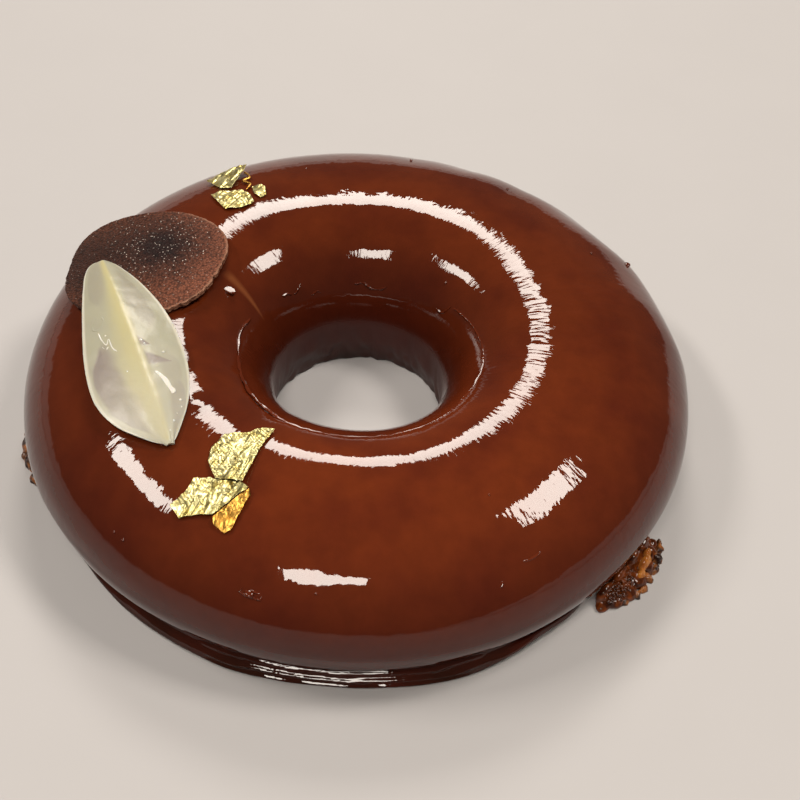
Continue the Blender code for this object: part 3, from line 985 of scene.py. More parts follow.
@dataclass
class Studio:
    """The camera at the photograph's angle, a pale floor and soft ceiling light."""

    camera_place: Place = (0.0129, -0.3075, 0.3464)
    pitch: float = 42.43
    roll: float = 3.30
    lens: float = 66.34
    floor_half_width: float = 6.0
    floor_colours: tuple[str, str] = ("#b9b7b7", "#bcbaba")
    floor_roughness: float = 0.6
    haze_colour: str = "#bdb5ae"
    room_colour: str = "#524d48"
    # Where the room is pale low down: azimuth, how high it reaches, and how narrow it is
    pale_sides: tuple[Place, ...] = ((-15.0, 6.5, 5.0), (147.0, 8.0, 4.0), (93.0, 3.0, 8.0))
    ceiling: float = 1.8
    light_colour: Place = (1.0, 0.92, 0.83)
    panels: tuple[CeilingPanel, ...] = (
        CeilingPanel("far", 93.0, 42.5, 0.70, 0.85, 19.5, 0.0),
        CeilingPanel("left", 169.7, 51.2, 0.38, 0.88, 24.0, 29.5),
        CeilingPanel("near", -97.0, 60.0, 0.78, 0.36, 24.5, -6.0),
        CeilingPanel("right", 16.7, 57.5, 0.54, 0.56, 24.5, -28.6),
    )

    def build(self) -> None:
        """Make the camera, the floor, the room round it and the lights."""
        self.add_camera()
        self.add_floor()
        self.add_room()
        for panel in self.panels:
            self.add_panel(panel)
        bpy.context.scene.view_settings.view_transform = "Standard"

    def add_camera(self) -> None:
        """Stand the camera where the photograph was taken from."""
        data = bpy.data.cameras.new("Camera")
        data.lens = self.lens
        data.sensor_width = 36.0
        data.clip_start = 0.01
        camera = bpy.data.objects.new("Camera", data)
        camera.matrix_world = (Matrix.Translation(self.camera_place)
                               @ Matrix.Rotation(math.radians(self.pitch), 4, "X")
                               @ Matrix.Rotation(math.radians(self.roll), 4, "Z"))
        bpy.context.scene.collection.objects.link(camera)
        bpy.context.scene.camera = camera

    def add_floor(self) -> None:
        """Lay a plain pale floor."""
        material, tree, shader = new_finish("Matt pale laminate")
        place = add_node(tree, "ShaderNodeTexCoord").outputs["Object"]
        cloud = add_node(tree, "ShaderNodeTexNoise", {
            "Vector": place, "Scale": 30.0, "Detail": 4.0})
        darker, lighter = (srgb(colour) for colour in self.floor_colours)
        tint = add_node(tree, "ShaderNodeMix", {
            0: cloud.outputs["Fac"], 6: darker, 7: lighter}, data_type="RGBA")
        tree.links.new(tint.outputs[2], shader.inputs["Base Color"])
        shader.inputs["Roughness"].default_value = self.floor_roughness
        shape = bmesh.new()
        bmesh.ops.create_circle(shape, cap_ends=True, segments=96, radius=self.floor_half_width)
        mesh = bpy.data.meshes.new("floor")
        shape.to_mesh(mesh)
        shape.free()
        mesh.materials.append(material)
        floor = bpy.data.objects.new("floor", mesh)
        bpy.context.scene.collection.objects.link(floor)

    def add_room(self) -> None:
        """Surround the floor with a dim room that is pale low down, but not at the camera."""
        world = bpy.data.worlds.new("Room")
        world.use_nodes = True
        tree = world.node_tree
        direction = add_node(tree, "ShaderNodeTexCoord").outputs["Generated"]
        above = add_node(tree, "ShaderNodeSeparateXYZ", {0: direction}).outputs["Z"]
        for azimuth, top, narrowness in self.pale_sides:
            turn = math.radians(azimuth)
            towards = add_node(tree, "ShaderNodeVectorMath", {
                0: direction, 1: (math.cos(turn), math.sin(turn), 0.0)}, operation="DOT_PRODUCT")
            ahead = add_node(tree, "ShaderNodeMath", {0: towards.outputs["Value"], 1: 0.0},
                             operation="MAXIMUM")
            nearness = add_node(tree, "ShaderNodeMath", {0: ahead.outputs[0], 1: narrowness},
                                operation="POWER")
            above = add_node(tree, "ShaderNodeMath", {
                0: nearness.outputs[0], 1: -math.sin(math.radians(top)), 2: above},
                operation="MULTIPLY_ADD").outputs[0]
        share = add_node(tree, "ShaderNodeMapRange", {
            "Value": above, "From Min": -0.01, "From Max": 0.01})
        tint = add_node(tree, "ShaderNodeMix", {
            0: share.outputs["Result"], 6: srgb(self.haze_colour), 7: srgb(self.room_colour)},
            data_type="RGBA")
        tree.links.new(tint.outputs[2], tree.nodes["Background"].inputs["Color"])
        bpy.context.scene.world = world

    def add_panel(self, panel: CeilingPanel) -> None:
        """Hang one light panel flat in the ceiling.

        Args:
            panel: Its direction from the cake, its size in metres, its radiance and turn.
        """
        away = self.ceiling / math.tan(math.radians(panel.elevation))
        turn = math.radians(panel.azimuth)
        light = bpy.data.lights.new(f"panel_{panel.name}", "AREA")
        light.shape = "RECTANGLE"
        light.size, light.size_y = panel.width, panel.depth
        light.energy = panel.radiance * math.pi * panel.width * panel.depth
        light.color = self.light_colour
        lamp = bpy.data.objects.new(light.name, light)
        lamp.location = (away * math.cos(turn), away * math.sin(turn), self.ceiling)
        lamp.rotation_euler.z = math.radians(panel.turn)
        bpy.context.scene.collection.objects.link(lamp)


# Glazed ring


@dataclass
class GlazedRing:
    """The ring's glaze, with the ridges where it ran down and set over the foot."""

    shape: RingShape
    segments: int = 360
    outer_steps: int = 40
    inner_steps: int = 34
    wobble: float = 0.10
    # The side that set unevenly: middle azimuth, half spread and fade, and its relief
    uneven_side: Place = (38.0, 34.0, 22.0)
    bulge: float = 0.8
    # Relief of the runs low on the outside, and of the folds low in the hole
    run_mark: float = 0.10
    fold: float = 0.55
    # Where the foot set in terraces, their relief and how far apart in height they are
    terraced_side: Place = (-89.0, 17.0, 9.0)
    terrace: float = 0.42
    terrace_pitch: float = 1.75
    # How far the lip of the front skirt stands out
    pout: float = 1.0
    # Where the crest lies further out: azimuth, half spread, fade and how far
    crest_shifts: tuple[tuple[float, float, float, float], ...] = (
        (188.0, 14.0, 20.0, 2.2), (226.0, 7.0, 12.0, 3.4), (138.0, 8.0, 16.0, 2.0))
    crest_spread: float = 16.0
    # Gentle swellings where toppings were pressed on: x, y, radius and height
    swellings: tuple[tuple[float, float, float, float], ...] = (
        (-43.0, -35.5, 4.5, 0.30), (-52.5, -26.0, 9.0, 0.2), (4.5, -87.5, 8.0, 0.14),
        (-9.0, -87.5, 6.0, -0.08), (-1.5, 46.0, 8.0, 0.2))
    # A drop of glaze, its place, half sizes, turn and tilt, and how level its top is
    drop: Point = (-40.0, 13.0)
    drop_half_sizes: Place = (2.0, 1.3, 1.2)
    drop_turn: float = -30.0
    drop_tilt: float = 4.0
    drop_level: Point = (0.25, 0.06)
    # Bubbles and specks set in the glaze: x, y and radius
    bubbles: tuple[Place, ...] = (
        (-22.9, -90.2, 1.3), (-5.7, -90.5, 0.4), (-58.2, -74.5, 0.5), (24.9, 26.5, 0.5),
        (-60.9, -72.2, 0.4), (82.7, 44.6, 1.1), (38.0, -61.0, 0.35), (12.0, 83.0, 0.5),
        (-22.0, 71.0, 0.4), (70.0, 40.0, 0.4), (62.0, -52.0, 0.35), (44.0, 70.0, 0.45))

    def arc(self, start: float, end: float, steps: int) -> list[Point]:
        """Points along the section's upper outline.

        Args:
            start: First angle, 0 at the outer side and 180 at the hole.
            end: Last angle, not included.
            steps: How many points.

        Returns:
            Radius and height of each point before any swell.
        """
        shape = self.shape
        points = []
        for step in range(steps):
            angle = math.radians(start + (end - start) * step / steps)
            outside = math.cos(angle) >= 0.0
            fullness = shape.outer_fullness if outside else shape.inner_fullness
            half_width = (shape.outer_radius - shape.crest_radius if outside
                          else shape.crest_radius - shape.hole_radius)
            foot = shape.widest_height if outside else shape.waist_height
            across = math.copysign(abs(math.cos(angle)) ** (2.0 / fullness), math.cos(angle))
            upward = max(math.sin(angle), 0.0) ** (2.0 / fullness)
            points.append((shape.crest_radius + across * half_width,
                           foot + upward * (shape.height - foot)))
        return points

    def section(self, azimuth: float) -> list[Point]:
        """The closed section at an azimuth.

        Args:
            azimuth: Where round the ring.

        Returns:
            Radius and height of each point, the same number at every azimuth.
        """
        shape = self.shape
        swell = shape.outer_swell(azimuth)
        lift = 1.0 + shape.crest_swell(azimuth) / shape.height
        half_width = shape.outer_radius - shape.crest_radius
        shift = sum(amount * window(azimuth, *where) for *where, amount in self.crest_shifts)
        section = []
        for radius, height in (self.arc(0.0, 90.0, self.outer_steps)
                               + self.arc(90.0, 180.0, self.inner_steps)):
            share = max(radius - shape.crest_radius, 0.0) / half_width
            near_crest = math.exp(-((radius - shape.crest_radius) / self.crest_spread) ** 2)
            section.append((radius + swell * share + shift * near_crest, height * lift))
        return section + self.terraced(self.rounded(self.foot(azimuth), 2), azimuth)

    def foot(self, azimuth: float) -> list[Point]:
        """Corners of the section's lower part, from the hole's waist out to the widest point.

        Args:
            azimuth: Where round the ring.

        Returns:
            Radius and height of each corner, between the bare foot's and the full skirt's.
        """
        shape = self.shape
        wrinkle = 0.25 * math.sin(math.radians(azimuth) * 11.0)
        reach, drop, lip = shape.skirt(azimuth)
        edge = shape.underside + (shape.edge_height - shape.underside) * drop
        rest, inner, outer = shape.underside, shape.inner_foot_radius, shape.foot_radius
        inner_lip = lip - shape.wall
        swell = shape.outer_swell(azimuth)
        return [
            (shape.hole_radius, shape.waist_height), (shape.hole_radius + 0.35 + wrinkle, 6.0),
            (shape.hole_radius + 1.0 - wrinkle, 3.0), (inner - 0.2, 1.2),
            (inner + 0.2, shape.edge_height), (inner + 1.2, shape.edge_height),
            (inner + 1.6, rest), (60.0, rest),
            blend((outer - 3.4, rest), (inner_lip, rest), reach),
            blend((outer - 2.9, rest), (inner_lip + 0.4, edge), reach),
            blend((outer - 0.6, rest), (lip - 0.9, edge), reach),
            blend((outer, rest + 0.25), (lip, edge + 1.1), reach),
            blend((outer + 0.9, rest + 0.9), (lip - 0.5, edge + 2.7), reach),
            blend((outer + 2.0, rest + 1.8), (lip - 1.9, rest + 1.5), reach * 0.9),
            blend((outer + 3.9, 7.6), (lip - 2.6, 7.4), reach * 0.45),
            (outer + 5.9 + swell, 10.6),
            (shape.outer_radius - 0.35 + swell, 13.6),
        ]

    def rounded(self, corners: list[Point], rounds: int) -> list[Point]:
        """Cut corners into a smooth line, with points close together on the outside.

        Args:
            corners: The line's corners.
            rounds: How many times each corner is cut.

        Returns:
            The points of the smooth line.
        """
        for _ in range(rounds):
            cut = [corners[0]]
            for first, second in zip(corners, corners[1:]):
                cut += [blend(first, second, 0.25), blend(first, second, 0.75)]
            corners = cut
        fine = [corners[0]]
        for first, second in zip(corners, corners[1:]):
            shares = (1.0 / 3.0, 2.0 / 3.0, 1.0) if min(first[0], second[0]) > 88.0 else (1.0,)
            fine += [blend(first, second, share) for share in shares]
        return fine

    def terraced(self, points: list[Point], azimuth: float) -> list[Point]:
        """Lay the terraces of set glaze and the lip of the front skirt on the foot's line.

        Args:
            points: Radius and height of the line's points.
            azimuth: Where round the ring.

        Returns:
            The moved points.
        """
        front = window(azimuth, *self.terraced_side)
        turn = math.radians(azimuth)
        line = []
        reach = window(azimuth, *self.shape.front_skirt, self.shape.fade)
        for radius, height in points:
            around = Vector((math.cos(turn), math.sin(turn), 0.0)) * 95.0
            wander = 0.5 * bump_at(around, 9.0, height * 0.3)
            step = math.sin(2.0 * math.pi * ((height - 0.9) / self.terrace_pitch + wander))
            low = smooth_step((height - 0.4) / 0.6) * (1.0 - smooth_step((height - 6.4) / 1.6))
            outside = smooth_step((radius - 90.0) / 3.0)
            out = (self.pout * reach * smooth_step((radius - 94.0) / 4.0)
                   * (1.0 - smooth_step((height - 3.5) / 3.0)))
            line.append((radius + out + self.terrace * step * front * low * outside, height))
        return line

    def build(self, glaze: bpy.types.Material) -> None:
        """Spin the section into the ring and add the bubbles.

        Args:
            glaze: The glaze's finish.
        """
        sections = [self.section(360.0 * index / self.segments) for index in range(self.segments)]
        ring = spun(sections)
        face_outwards(ring)
        ring.normal_update()
        moves = [self.relief(vertex) for vertex in ring.verts]
        for vertex, move in zip(ring.verts, moves):
            vertex.co = (vertex.co + vertex.normal * move) * MM
            vertex.co.z = max(vertex.co.z, FLOOR_GAP * MM)
        add_piece("mirror_glaze_ring", ring, glaze, "glazed_ring")

        pimples = bmesh.new()
        for x, y, radius in self.bubbles:
            place = Matrix.Translation((x * MM, y * MM, self.shape.top(x, y) * MM))
            bmesh.ops.create_icosphere(pimples, subdivisions=3, radius=radius * MM,
                                       matrix=place @ Matrix.Diagonal((1.0, 1.0, 0.45, 1.0)))
        add_piece("glaze_bubbles", pimples, glaze)
        self.build_drop(glaze)

    def build_drop(self, glaze: bpy.types.Material) -> None:
        """Set the drop whose level top mirrors the ceiling.

        Args:
            glaze: The drop's finish.
        """
        x, y = self.drop
        level, flatness = self.drop_level
        half_sizes = Vector(self.drop_half_sizes)
        drop = bmesh.new()
        bmesh.ops.create_icosphere(drop, subdivisions=5, radius=1.0)
        for vertex in drop.verts:
            above = vertex.co.z - level
            if above > 0.0:
                vertex.co.z = level + above * flatness
            vertex.co = vertex.co * half_sizes
        turned = Matrix.Rotation(math.radians(self.drop_turn), 4, "Z")
        tilted = Matrix.Rotation(math.radians(self.drop_tilt), 4, "Y")
        spot = Matrix.Translation((x, y, self.shape.top(x, y) + 0.1))
        bmesh.ops.transform(drop, matrix=Matrix.Scale(MM, 4) @ spot @ tilted @ turned,
                            verts=drop.verts)
        add_piece("glaze_drop", drop, glaze)

    def relief(self, vertex: bmesh.types.BMVert) -> float:
        """Work out how far the set glaze stands off its ideal surface.

        Args:
            vertex: A vertex of the ring, still in millimetres.

        Returns:
            The distance along the vertex's normal in millimetres.
        """
        place = vertex.co
        radius = math.hypot(place.x, place.y)
        if radius < 36.0 and place.z < 20.0:
            lean = Vector((place.x, place.y, place.z * 0.5))
            low = 1.0 - smooth_step((place.z - 6.0) / 12.0)
            folds = crease_at(lean, 4.5, 13.0) + 0.4 * bump_at(lean, 2.2, 3.0) - 0.5
            return self.fold * low * folds
        if place.z < 8.0 and radius < 90.0:
            return 0.0
        move = self.wobble * (bump_at(place, 30.0) + 0.35 * bump_at(place, 13.0, 4.0))
        azimuth = math.degrees(math.atan2(place.y, place.x))
        lumpy = window(azimuth, *self.uneven_side) * smooth_step((radius - 62.0) / 25.0)
        move += self.bulge * lumpy * (bump_at(place, 17.0, 21.0) - 0.3)
        if place.z > 35.0:
            for x, y, reach, rise in self.swellings:
                near = math.hypot(place.x - x, place.y - y) / reach
                move += rise * (1.0 - smooth_step(near))
        if radius > 80.0:
            low = 1.0 - smooth_step((place.z - 4.0) / 12.0)
            around = Vector((place.x, place.y, place.z * 0.25))
            move += self.run_mark * low * bump_at(around, 7.0, 9.0)
        return move - self.wobble * 0.6


# Threads


@dataclass(frozen=True)
class Thread:
    """A thin raised run on a surface, with a level top that catches the light."""

    name: str
    # Places on the surface that it passes
    path: tuple[Point, ...]
    half_width: float = 0.34
    rise: float = 0.1
    # How much narrower it gets towards its end
    narrowing: float = 0.0
    # How far its edges are sunk in the surface
    sunk: float = 0.6
    # How far it stands off the surface at its start and end
    lifts: Point = (0.0, 0.0)
    # Steps between two places of the path and across, and how far round the section turns
    steps_per_place: int = 14
    steps_across: int = 12
    arch: float = 220.0

    def middle(self, share: float) -> Vector:
        """The thread's middle on the surface at a share of its length.

        Args:
            share: Share of the length, from 0 to 1.

        Returns:
            The place on a smooth curve through the path.
        """
        spans = len(self.path) - 1
        span = min(int(share * spans), spans - 1)
        local = share * spans - span
        before, start, end, after = (
            Vector(self.path[min(max(span + step, 0), spans)]) for step in (-1, 0, 1, 2))
        return (start * 2.0 + (end - before) * local
                + (before * 2.0 - start * 5.0 + end * 4.0 - after) * local ** 2
                + (start * 3.0 - before - end * 3.0 + after) * local ** 3) / 2.0

    def build(self, carrier: Callable[[float, float], Vector], finish: bpy.types.Material,
              slot: Slot) -> None:
        """Arch a narrow strip along the path.

        Args:
            carrier: Turns a place of the path into a point of the surface.
            finish: Its finish.
            slot: The record's slot of that finish; not used.
        """
        strip = bmesh.new()
        steps = self.steps_per_place * (len(self.path) - 1)
        bmesh.ops.create_grid(strip, x_segments=steps, y_segments=self.steps_across, size=0.5)
        for vertex in strip.verts:
            share, turn = vertex.co.x + 0.5, math.radians(self.arch) * vertex.co.y
            before, centre, after = (carrier(*self.middle(min(max(share + step, 0.0), 1.0)))
                                     for step in (-0.01, 0.0, 0.01))
            aside = Vector((after.y - before.y, before.x - after.x, 0.0)).normalized()
            flat = Vector((centre.x, centre.y, 0.0))
            ends = min(share, 1.0 - share) * steps / 6.0
            thickness = (1.0 - self.narrowing * share) * min(ends, 1.0) ** 0.5
            thickness *= 0.75 + 0.6 * bump_at(flat, 3.0, 5.0)
            place = centre + aside * (0.3 * bump_at(flat, 2.5)
                                      + self.half_width * thickness * math.sin(turn))
            # The top is nearly level and the edges turn down sharply
            profile = math.cos(turn) ** 0.35 * self.rise if math.cos(turn) > 0.0 else -self.sunk
            place.z += self.lifts[0] + (self.lifts[1] - self.lifts[0]) * share + profile
            vertex.co = place * MM
        face_outwards(strip)
        add_piece(self.name, strip, finish)


GLAZE_THREADS = (
    Thread("lip_thread_left", (
        (-33.2, 8.2), (-34.8, 4.4), (-35.7, -1.2), (-34.9, -10.2), (-33.1, -18.3), (-30.3, -25.4),
        (-26.8, -30.3), (-23.6, -33.6), (-19.9, -36.9), (-14.4, -40.0), (-7.7, -41.7)), 0.5),
    Thread("lip_thread_front", (
        (-7.7, -41.7), (-0.1, -42.4), (7.4, -41.4), (14.8, -38.5), (22.3, -34.1), (27.1, -29.5)),
        0.3),
    Thread("lip_thread_right", (
        (29.0, -27.2), (31.9, -21.7), (35.8, -12.0), (36.6, -3.7), (35.3, 4.2), (32.8, 10.9),
        (29.6, 16.2), (27.6, 18.6)), 0.42),
    Thread("run_left", ((-24.9, 20.7), (-23.6, 22.0), (-22.4, 22.6)), 0.4),
    Thread("run_left_high", ((-21.6, 23.0), (-20.6, 24.6), (-20.2, 26.0)), 0.3),
    Thread("run_right", ((22.6, 21.2), (24.4, 19.4), (26.8, 19.4)), 0.55),
    Thread("run_back", ((-3.4, 30.6), (-0.6, 31.0), (2.6, 30.0), (6.8, 30.0)), 0.35),
    Thread("run_back_left", ((-16.6, 25.2), (-14.9, 26.6), (-13.6, 26.8)), 0.35),
    Thread("run_low_right", ((47.6, -76.6), (49.6, -75.4), (52.2, -73.2)), 0.55),
    Thread("run_low_front", ((42.4, -82.0), (41.8, -83.4)), 0.5),
    Thread("run_low_left", ((-24.8, -89.0), (-25.6, -89.6), (-23.8, -90.4), (-20.2, -91.4),
                            (-20.6, -90.4), (-22.6, -89.6)), 0.3),
)
LEAF_THREADS = (
    Thread("leaf_streak", ((0.675, 0.22), (0.70, 0.33), (0.745, 0.46), (0.79, 0.58)),
           half_width=0.65, rise=0.2, narrowing=-0.9),
    Thread("leaf_squiggle", ((0.40, -0.66), (0.44, -0.62), (0.475, -0.54), (0.455, -0.47),
                             (0.50, -0.44), (0.53, -0.37)), half_width=0.24, rise=0.14),
    Thread("leaf_squiggle_short", ((0.475, -0.63), (0.50, -0.56), (0.49, -0.50)),
           half_width=0.2, rise=0.12),
)
LEAF_RING = Thread("leaf_ring_mark", (
    (0.325, -0.68), (0.345, -0.78), (0.375, -0.74), (0.38, -0.60), (0.355, -0.50),
    (0.33, -0.52)), half_width=0.35, rise=0.1)
GOLD_STRAND = Thread("twisted_gold_strand", (
    (-42.0, 67.8), (-39.5, 63.6), (-41.2, 61.4), (-38.8, 59.2), (-39.9, 56.0)),
    half_width=0.5, rise=0.3, narrowing=0.3, sunk=0.2, lifts=(1.2, 0.8))


# Crunch base


@dataclass
class CrunchBase:
    """The crunchy layer under the mousse, with the nuggets that stick out of it."""

    shape: RingShape
    thickness: float = 3.6
    radius: float = 95.2
    hole_radius: float = 28.6
    roughness: float = 0.55
    segments: int = 360
    # How finely melted masses are cut, and how rough nuggets, caramel and the drop are
    voxel: float = 0.3
    nugget_grain: float = 0.55
    caramel_grain: float = 0.22
    drop_grain: float = 0.12
    # Nuggets, caramel and the amber drop: azimuth, radius, half sizes outwards, along and up
    nuggets: tuple[tuple[float, ...], ...] = (
        (-38.6, 102.2, 1.3, 2.4, 1.0), (-36.4, 103.4, 1.7, 1.2, 1.5), (-34.7, 104.0, 1.1, 1.9, 1.1),
        (-32.4, 103.2, 1.8, 1.3, 1.9), (-30.3, 103.6, 1.2, 2.2, 1.3), (-28.3, 102.4, 1.8, 1.2, 2.2),
        (-26.2, 101.6, 1.2, 2.0, 1.2), (-24.9, 100.8, 1.0, 1.0, 1.6),
        (-168.6, 100.5, 2.5, 3.8, 3.4), (-165.0, 100.0, 2.4, 3.2, 3.0),
        (-171.6, 100.2, 2.0, 2.6, 2.4), (-161.6, 99.4, 1.9, 2.6, 2.0),
        (-167.0, 102.2, 1.0, 1.6, 1.5))
    caramel: tuple[tuple[float, ...], ...] = (
        (-41.6, 98.8, 1.9, 2.8, 1.5), (-39.6, 99.8, 3.0, 3.0, 2.2), (-37.0, 100.6, 3.6, 3.0, 2.4),
        (-34.0, 100.6, 3.6, 3.2, 2.8), (-31.0, 100.2, 3.4, 3.0, 3.2), (-28.2, 99.6, 2.6, 2.8, 2.8),
        (-26.0, 99.2, 1.8, 2.4, 1.8), (-40.0, 97.2, 1.8, 4.0, 4.0), (-36.0, 97.4, 1.8, 4.0, 5.0),
        (-32.0, 97.6, 1.8, 4.0, 5.4), (-28.0, 97.6, 1.6, 4.0, 4.4))
    drop: tuple[tuple[float, ...], ...] = (
        (-31.0, 100.6, 1.7, 3.4, 4.2), (-33.4, 101.6, 1.5, 2.4, 3.4), (-29.0, 99.6, 1.3, 2.2, 3.6))
    # The froth on the caramel: azimuth and radius of its middle, half sizes outwards and along
    froth: tuple[float, float, float, float] = (-38.2, 99.6, 2.6, 6.0)
    froth_bubbles: int = 170
    froth_height: float = 4.3
    bubble_radii: Point = (0.28, 0.55)

    def section(self, azimuth: float) -> list[Point]:
        """The layer's section at an azimuth.

        Args:
            azimuth: Where round the ring.

        Returns:
            Radius and height of each corner of the closed section.
        """
        reach, _, lip = self.shape.skirt(azimuth)
        outer = self.radius + (lip - self.shape.wall - 1.0 - self.radius) * reach
        inner, top = self.hole_radius, self.thickness
        return [(outer - 0.5, 0.0), (outer - 0.1, 0.5), (outer, 1.2), (outer - 0.1, 1.9),
                (outer - 0.3, 2.6), (outer - 0.6, 3.2), (outer - 1.2, top), (outer - 6.0, top),
                (inner + 0.7, top), (inner, 2.4), (inner, 0.8), (inner + 0.2, 0.0),
                (outer - 6.0, 0.0)]

    def build(self, crunch: bpy.types.Material, caramel: bpy.types.Material,
              amber: bpy.types.Material) -> None:
        """Spin the layer and set nuggets and caramel against it.

        Args:
            crunch: The finish of the layer and the nuggets.
            caramel: The finish of the caramel that ran out.
            amber: The finish of its clearest drop.
        """
        sections = [self.section(360.0 * index / self.segments) for index in range(self.segments)]
        layer = spun(sections)
        for vertex in layer.verts:
            rough = self.roughness * (bump_at(vertex.co, 3.0) + 0.6 * bump_at(vertex.co, 1.3))
            outwards = Vector((vertex.co.x, vertex.co.y, 0.0)).normalized()
            vertex.co = (vertex.co + outwards * rough) * MM
        face_outwards(layer)
        add_piece("praline_crunch_layer", layer, crunch, "crunch_base")
        self.melt("praline_nuggets", self.nuggets, self.nugget_grain, crunch)
        self.melt("caramel_pool", self.caramel, self.caramel_grain, caramel)
        self.melt("amber_drop", self.drop, self.drop_grain, amber)
        self.build_froth(caramel)

    def melt(self, name: str, blobs: tuple[tuple[float, ...], ...], grain: float,
             finish: bpy.types.Material) -> None:
        """Melt blobs that stand on the floor into one mass and roughen it.

        Args:
            name: The mass's name.
            blobs: Azimuth, radius, and half sizes outwards, along the edge and up.
            grain: How rough the mass is, in millimetres.
            finish: Its finish.
        """
        mass = bmesh.new()
        for azimuth, radius, outwards, along, up in blobs:
            place = (Matrix.Rotation(math.radians(azimuth), 4, "Z")
                     @ Matrix.Translation((radius * MM, 0.0, 0.35 * up * MM))
                     @ Matrix.Diagonal((outwards * MM, along * MM, up * MM, 1.0)))
            bmesh.ops.create_icosphere(mass, subdivisions=4, radius=1.0, matrix=place)
        piece = add_piece(name, mass, finish)
        melt = piece.modifiers.new("Melt together", "REMESH")
        melt.mode = "VOXEL"
        melt.voxel_size = self.voxel * MM
        bpy.context.view_layer.update()
        melted = bpy.data.meshes.new_from_object(
            piece.evaluated_get(bpy.context.evaluated_depsgraph_get()))
        piece.modifiers.clear()
        rough = bmesh.new()
        rough.from_mesh(melted)
        bpy.data.meshes.remove(melted)
        bmesh.ops.smooth_vert(rough, verts=rough.verts, factor=0.5, use_axis_x=True,
                              use_axis_y=True, use_axis_z=True)
        rough.normal_update()
        for vertex in rough.verts:
            place = vertex.co / MM
            push = grain * (bump_at(place, 1.9) + 0.6 * bump_at(place, 0.8, 3.0))
            vertex.co += vertex.normal * push * MM
            vertex.co.z = max(vertex.co.z, FLOOR_GAP * MM)
        rough.to_mesh(piece.data)
        rough.free()
        piece.data.shade_smooth()

    def build_froth(self, caramel: bpy.types.Material) -> None:
        """Crowd small bubbles on the caramel.

        Args:
            caramel: Their finish.
        """
        middle, radius, outwards, along = self.froth
        chance = random.Random(7)
        bubbles = bmesh.new()
        for _ in range(self.froth_bubbles):
            turn, reach = chance.uniform(0.0, math.tau), math.sqrt(chance.random())
            across = math.cos(turn) * reach
            azimuth = middle + math.degrees(math.sin(turn) * reach * along / radius)
            height = self.froth_height - 0.9 * across - 1.1 * reach * reach
            size = chance.uniform(*self.bubble_radii)
            place = (Matrix.Rotation(math.radians(azimuth), 4, "Z")
                     @ Matrix.Translation(((radius + across * outwards) * MM, 0.0, height * MM)))
            bmesh.ops.create_icosphere(bubbles, subdivisions=2, radius=size * MM, matrix=place)
        add_piece("caramel_froth", bubbles, caramel)


# Dark oval


@dataclass
class DarkOval:
    """The thin dark chocolate oval, bent a little over the ring."""

    centre: Point = (-66.15, 19.5)
    half_sizes: Point = (24.6, 23.8)
    # The outline's swells: waves round the oval, share of the radius and phase
    swells: tuple[Place, ...] = (
        (2.0, 0.0237, 0.07), (3.0, 0.0289, 1.84), (4.0, 0.0232, -0.42), (5.0, 0.0097, -1.32),
        (6.0, 0.0110, 2.46))
    thickness: float = 1.4
    rest_height: float = 43.4
    slope: float = 7.0
    radial_curl: float = 170.0
    side_curl: float = 600.0
    droop_start: float = 8.0
    edge_droop: float = 220.0
    wave: float = 0.25
    # Relief of the grain and size of the edge's chips
    grain: float = 0.05
    chip_size: float = 1.8
    # How deep the chips are all round, how much deeper on one side, and where that is
    chip_depth: float = 0.008
    nibble_depth: float = 0.014
    nibbled_side: Place = (-75.0, 28.0, 16.0)
    # Where the edge gets a painted highlight, a pale line as if its thickness caught the light
    highlit_edge_side: Place = (-100.0, 50.0, 40.0)
    grid: int = 110

    def height(self, x: float, y: float) -> float:
        """Work out the height of the underside above a point of the plan.

        Args:
            x: The point's x.
            y: The point's y.

        Returns:
            The height in millimetres.
        """
        centre = Vector(self.centre)
        outward = centre.normalized()
        offset = Vector((x, y)) - centre
        along, aside = offset.dot(outward), offset.cross(outward)
        height = self.rest_height - along * math.tan(math.radians(self.slope))
        height -= along * along / (2.0 * self.radial_curl) + aside * aside / (2.0 * self.side_curl)
        return height - max(along - self.droop_start, 0.0) ** 2 / self.edge_droop

    def build(self, dark: bpy.types.Material) -> None:
        """Bend a round sheet over the ring, break its edge a little and paint a highlight along
        part of it.

        Args:
            dark: The chocolate's finish.
        """
        sheet = bmesh.new()
        edge = sheet.verts.layers.float.new("edge")
        bmesh.ops.create_grid(sheet, x_segments=self.grid, y_segments=self.grid, size=1.0)
        centre = Vector(self.centre)
        outward = centre.normalized()
        sideways = Vector((-outward.y, outward.x))
        for vertex in sheet.verts:
            across, along, _ = vertex.co
            disc = Vector((across * math.sqrt(1.0 - along * along / 2.0),
                           along * math.sqrt(1.0 - across * across / 2.0)))
            angle = math.atan2(disc.y, disc.x)
            azimuth = math.degrees(angle)
            swollen = 1.0
            for waves, share, phase in self.swells:
                swollen += share * math.sin(waves * angle + phase)
            rim = disc.length_squared ** 3
            around = Vector((math.cos(angle), math.sin(angle), 0.0)) * 25.0
            chipped = bump_at(around, self.chip_size)
            broken = self.chip_depth + self.nibble_depth * window(azimuth, *self.nibbled_side)
            plan = centre + (sideways * disc.x * self.half_sizes[0]
                             + outward * disc.y * self.half_sizes[1]) * (
                                 swollen + broken * rim * chipped)
            wave = self.wave * math.sin(3.0 * angle + 1.0) * disc.length_squared
            grain = self.grain * bump_at(Vector((plan.x, plan.y, 0.0)), 1.1)
            # Painted highlight along the edge on one side
            edge_highlight = window(azimuth, *self.highlit_edge_side)
            vertex[edge] = edge_highlight * smooth_step((disc.length - 0.968) / 0.02) * (0.6 + 0.6 * chipped)
            vertex.co = Vector((plan.x, plan.y, self.height(plan.x, plan.y) + wave + grain)) * MM
        # The turn to the outward direction mirrored the grid, so its faces looked down
        bmesh.ops.reverse_faces(sheet, faces=sheet.faces)
        piece = add_piece("dusted_dark_oval", sheet, dark, "dark_chocolate_oval")
        thicken(piece, self.thickness, 0.3)


# White leaf


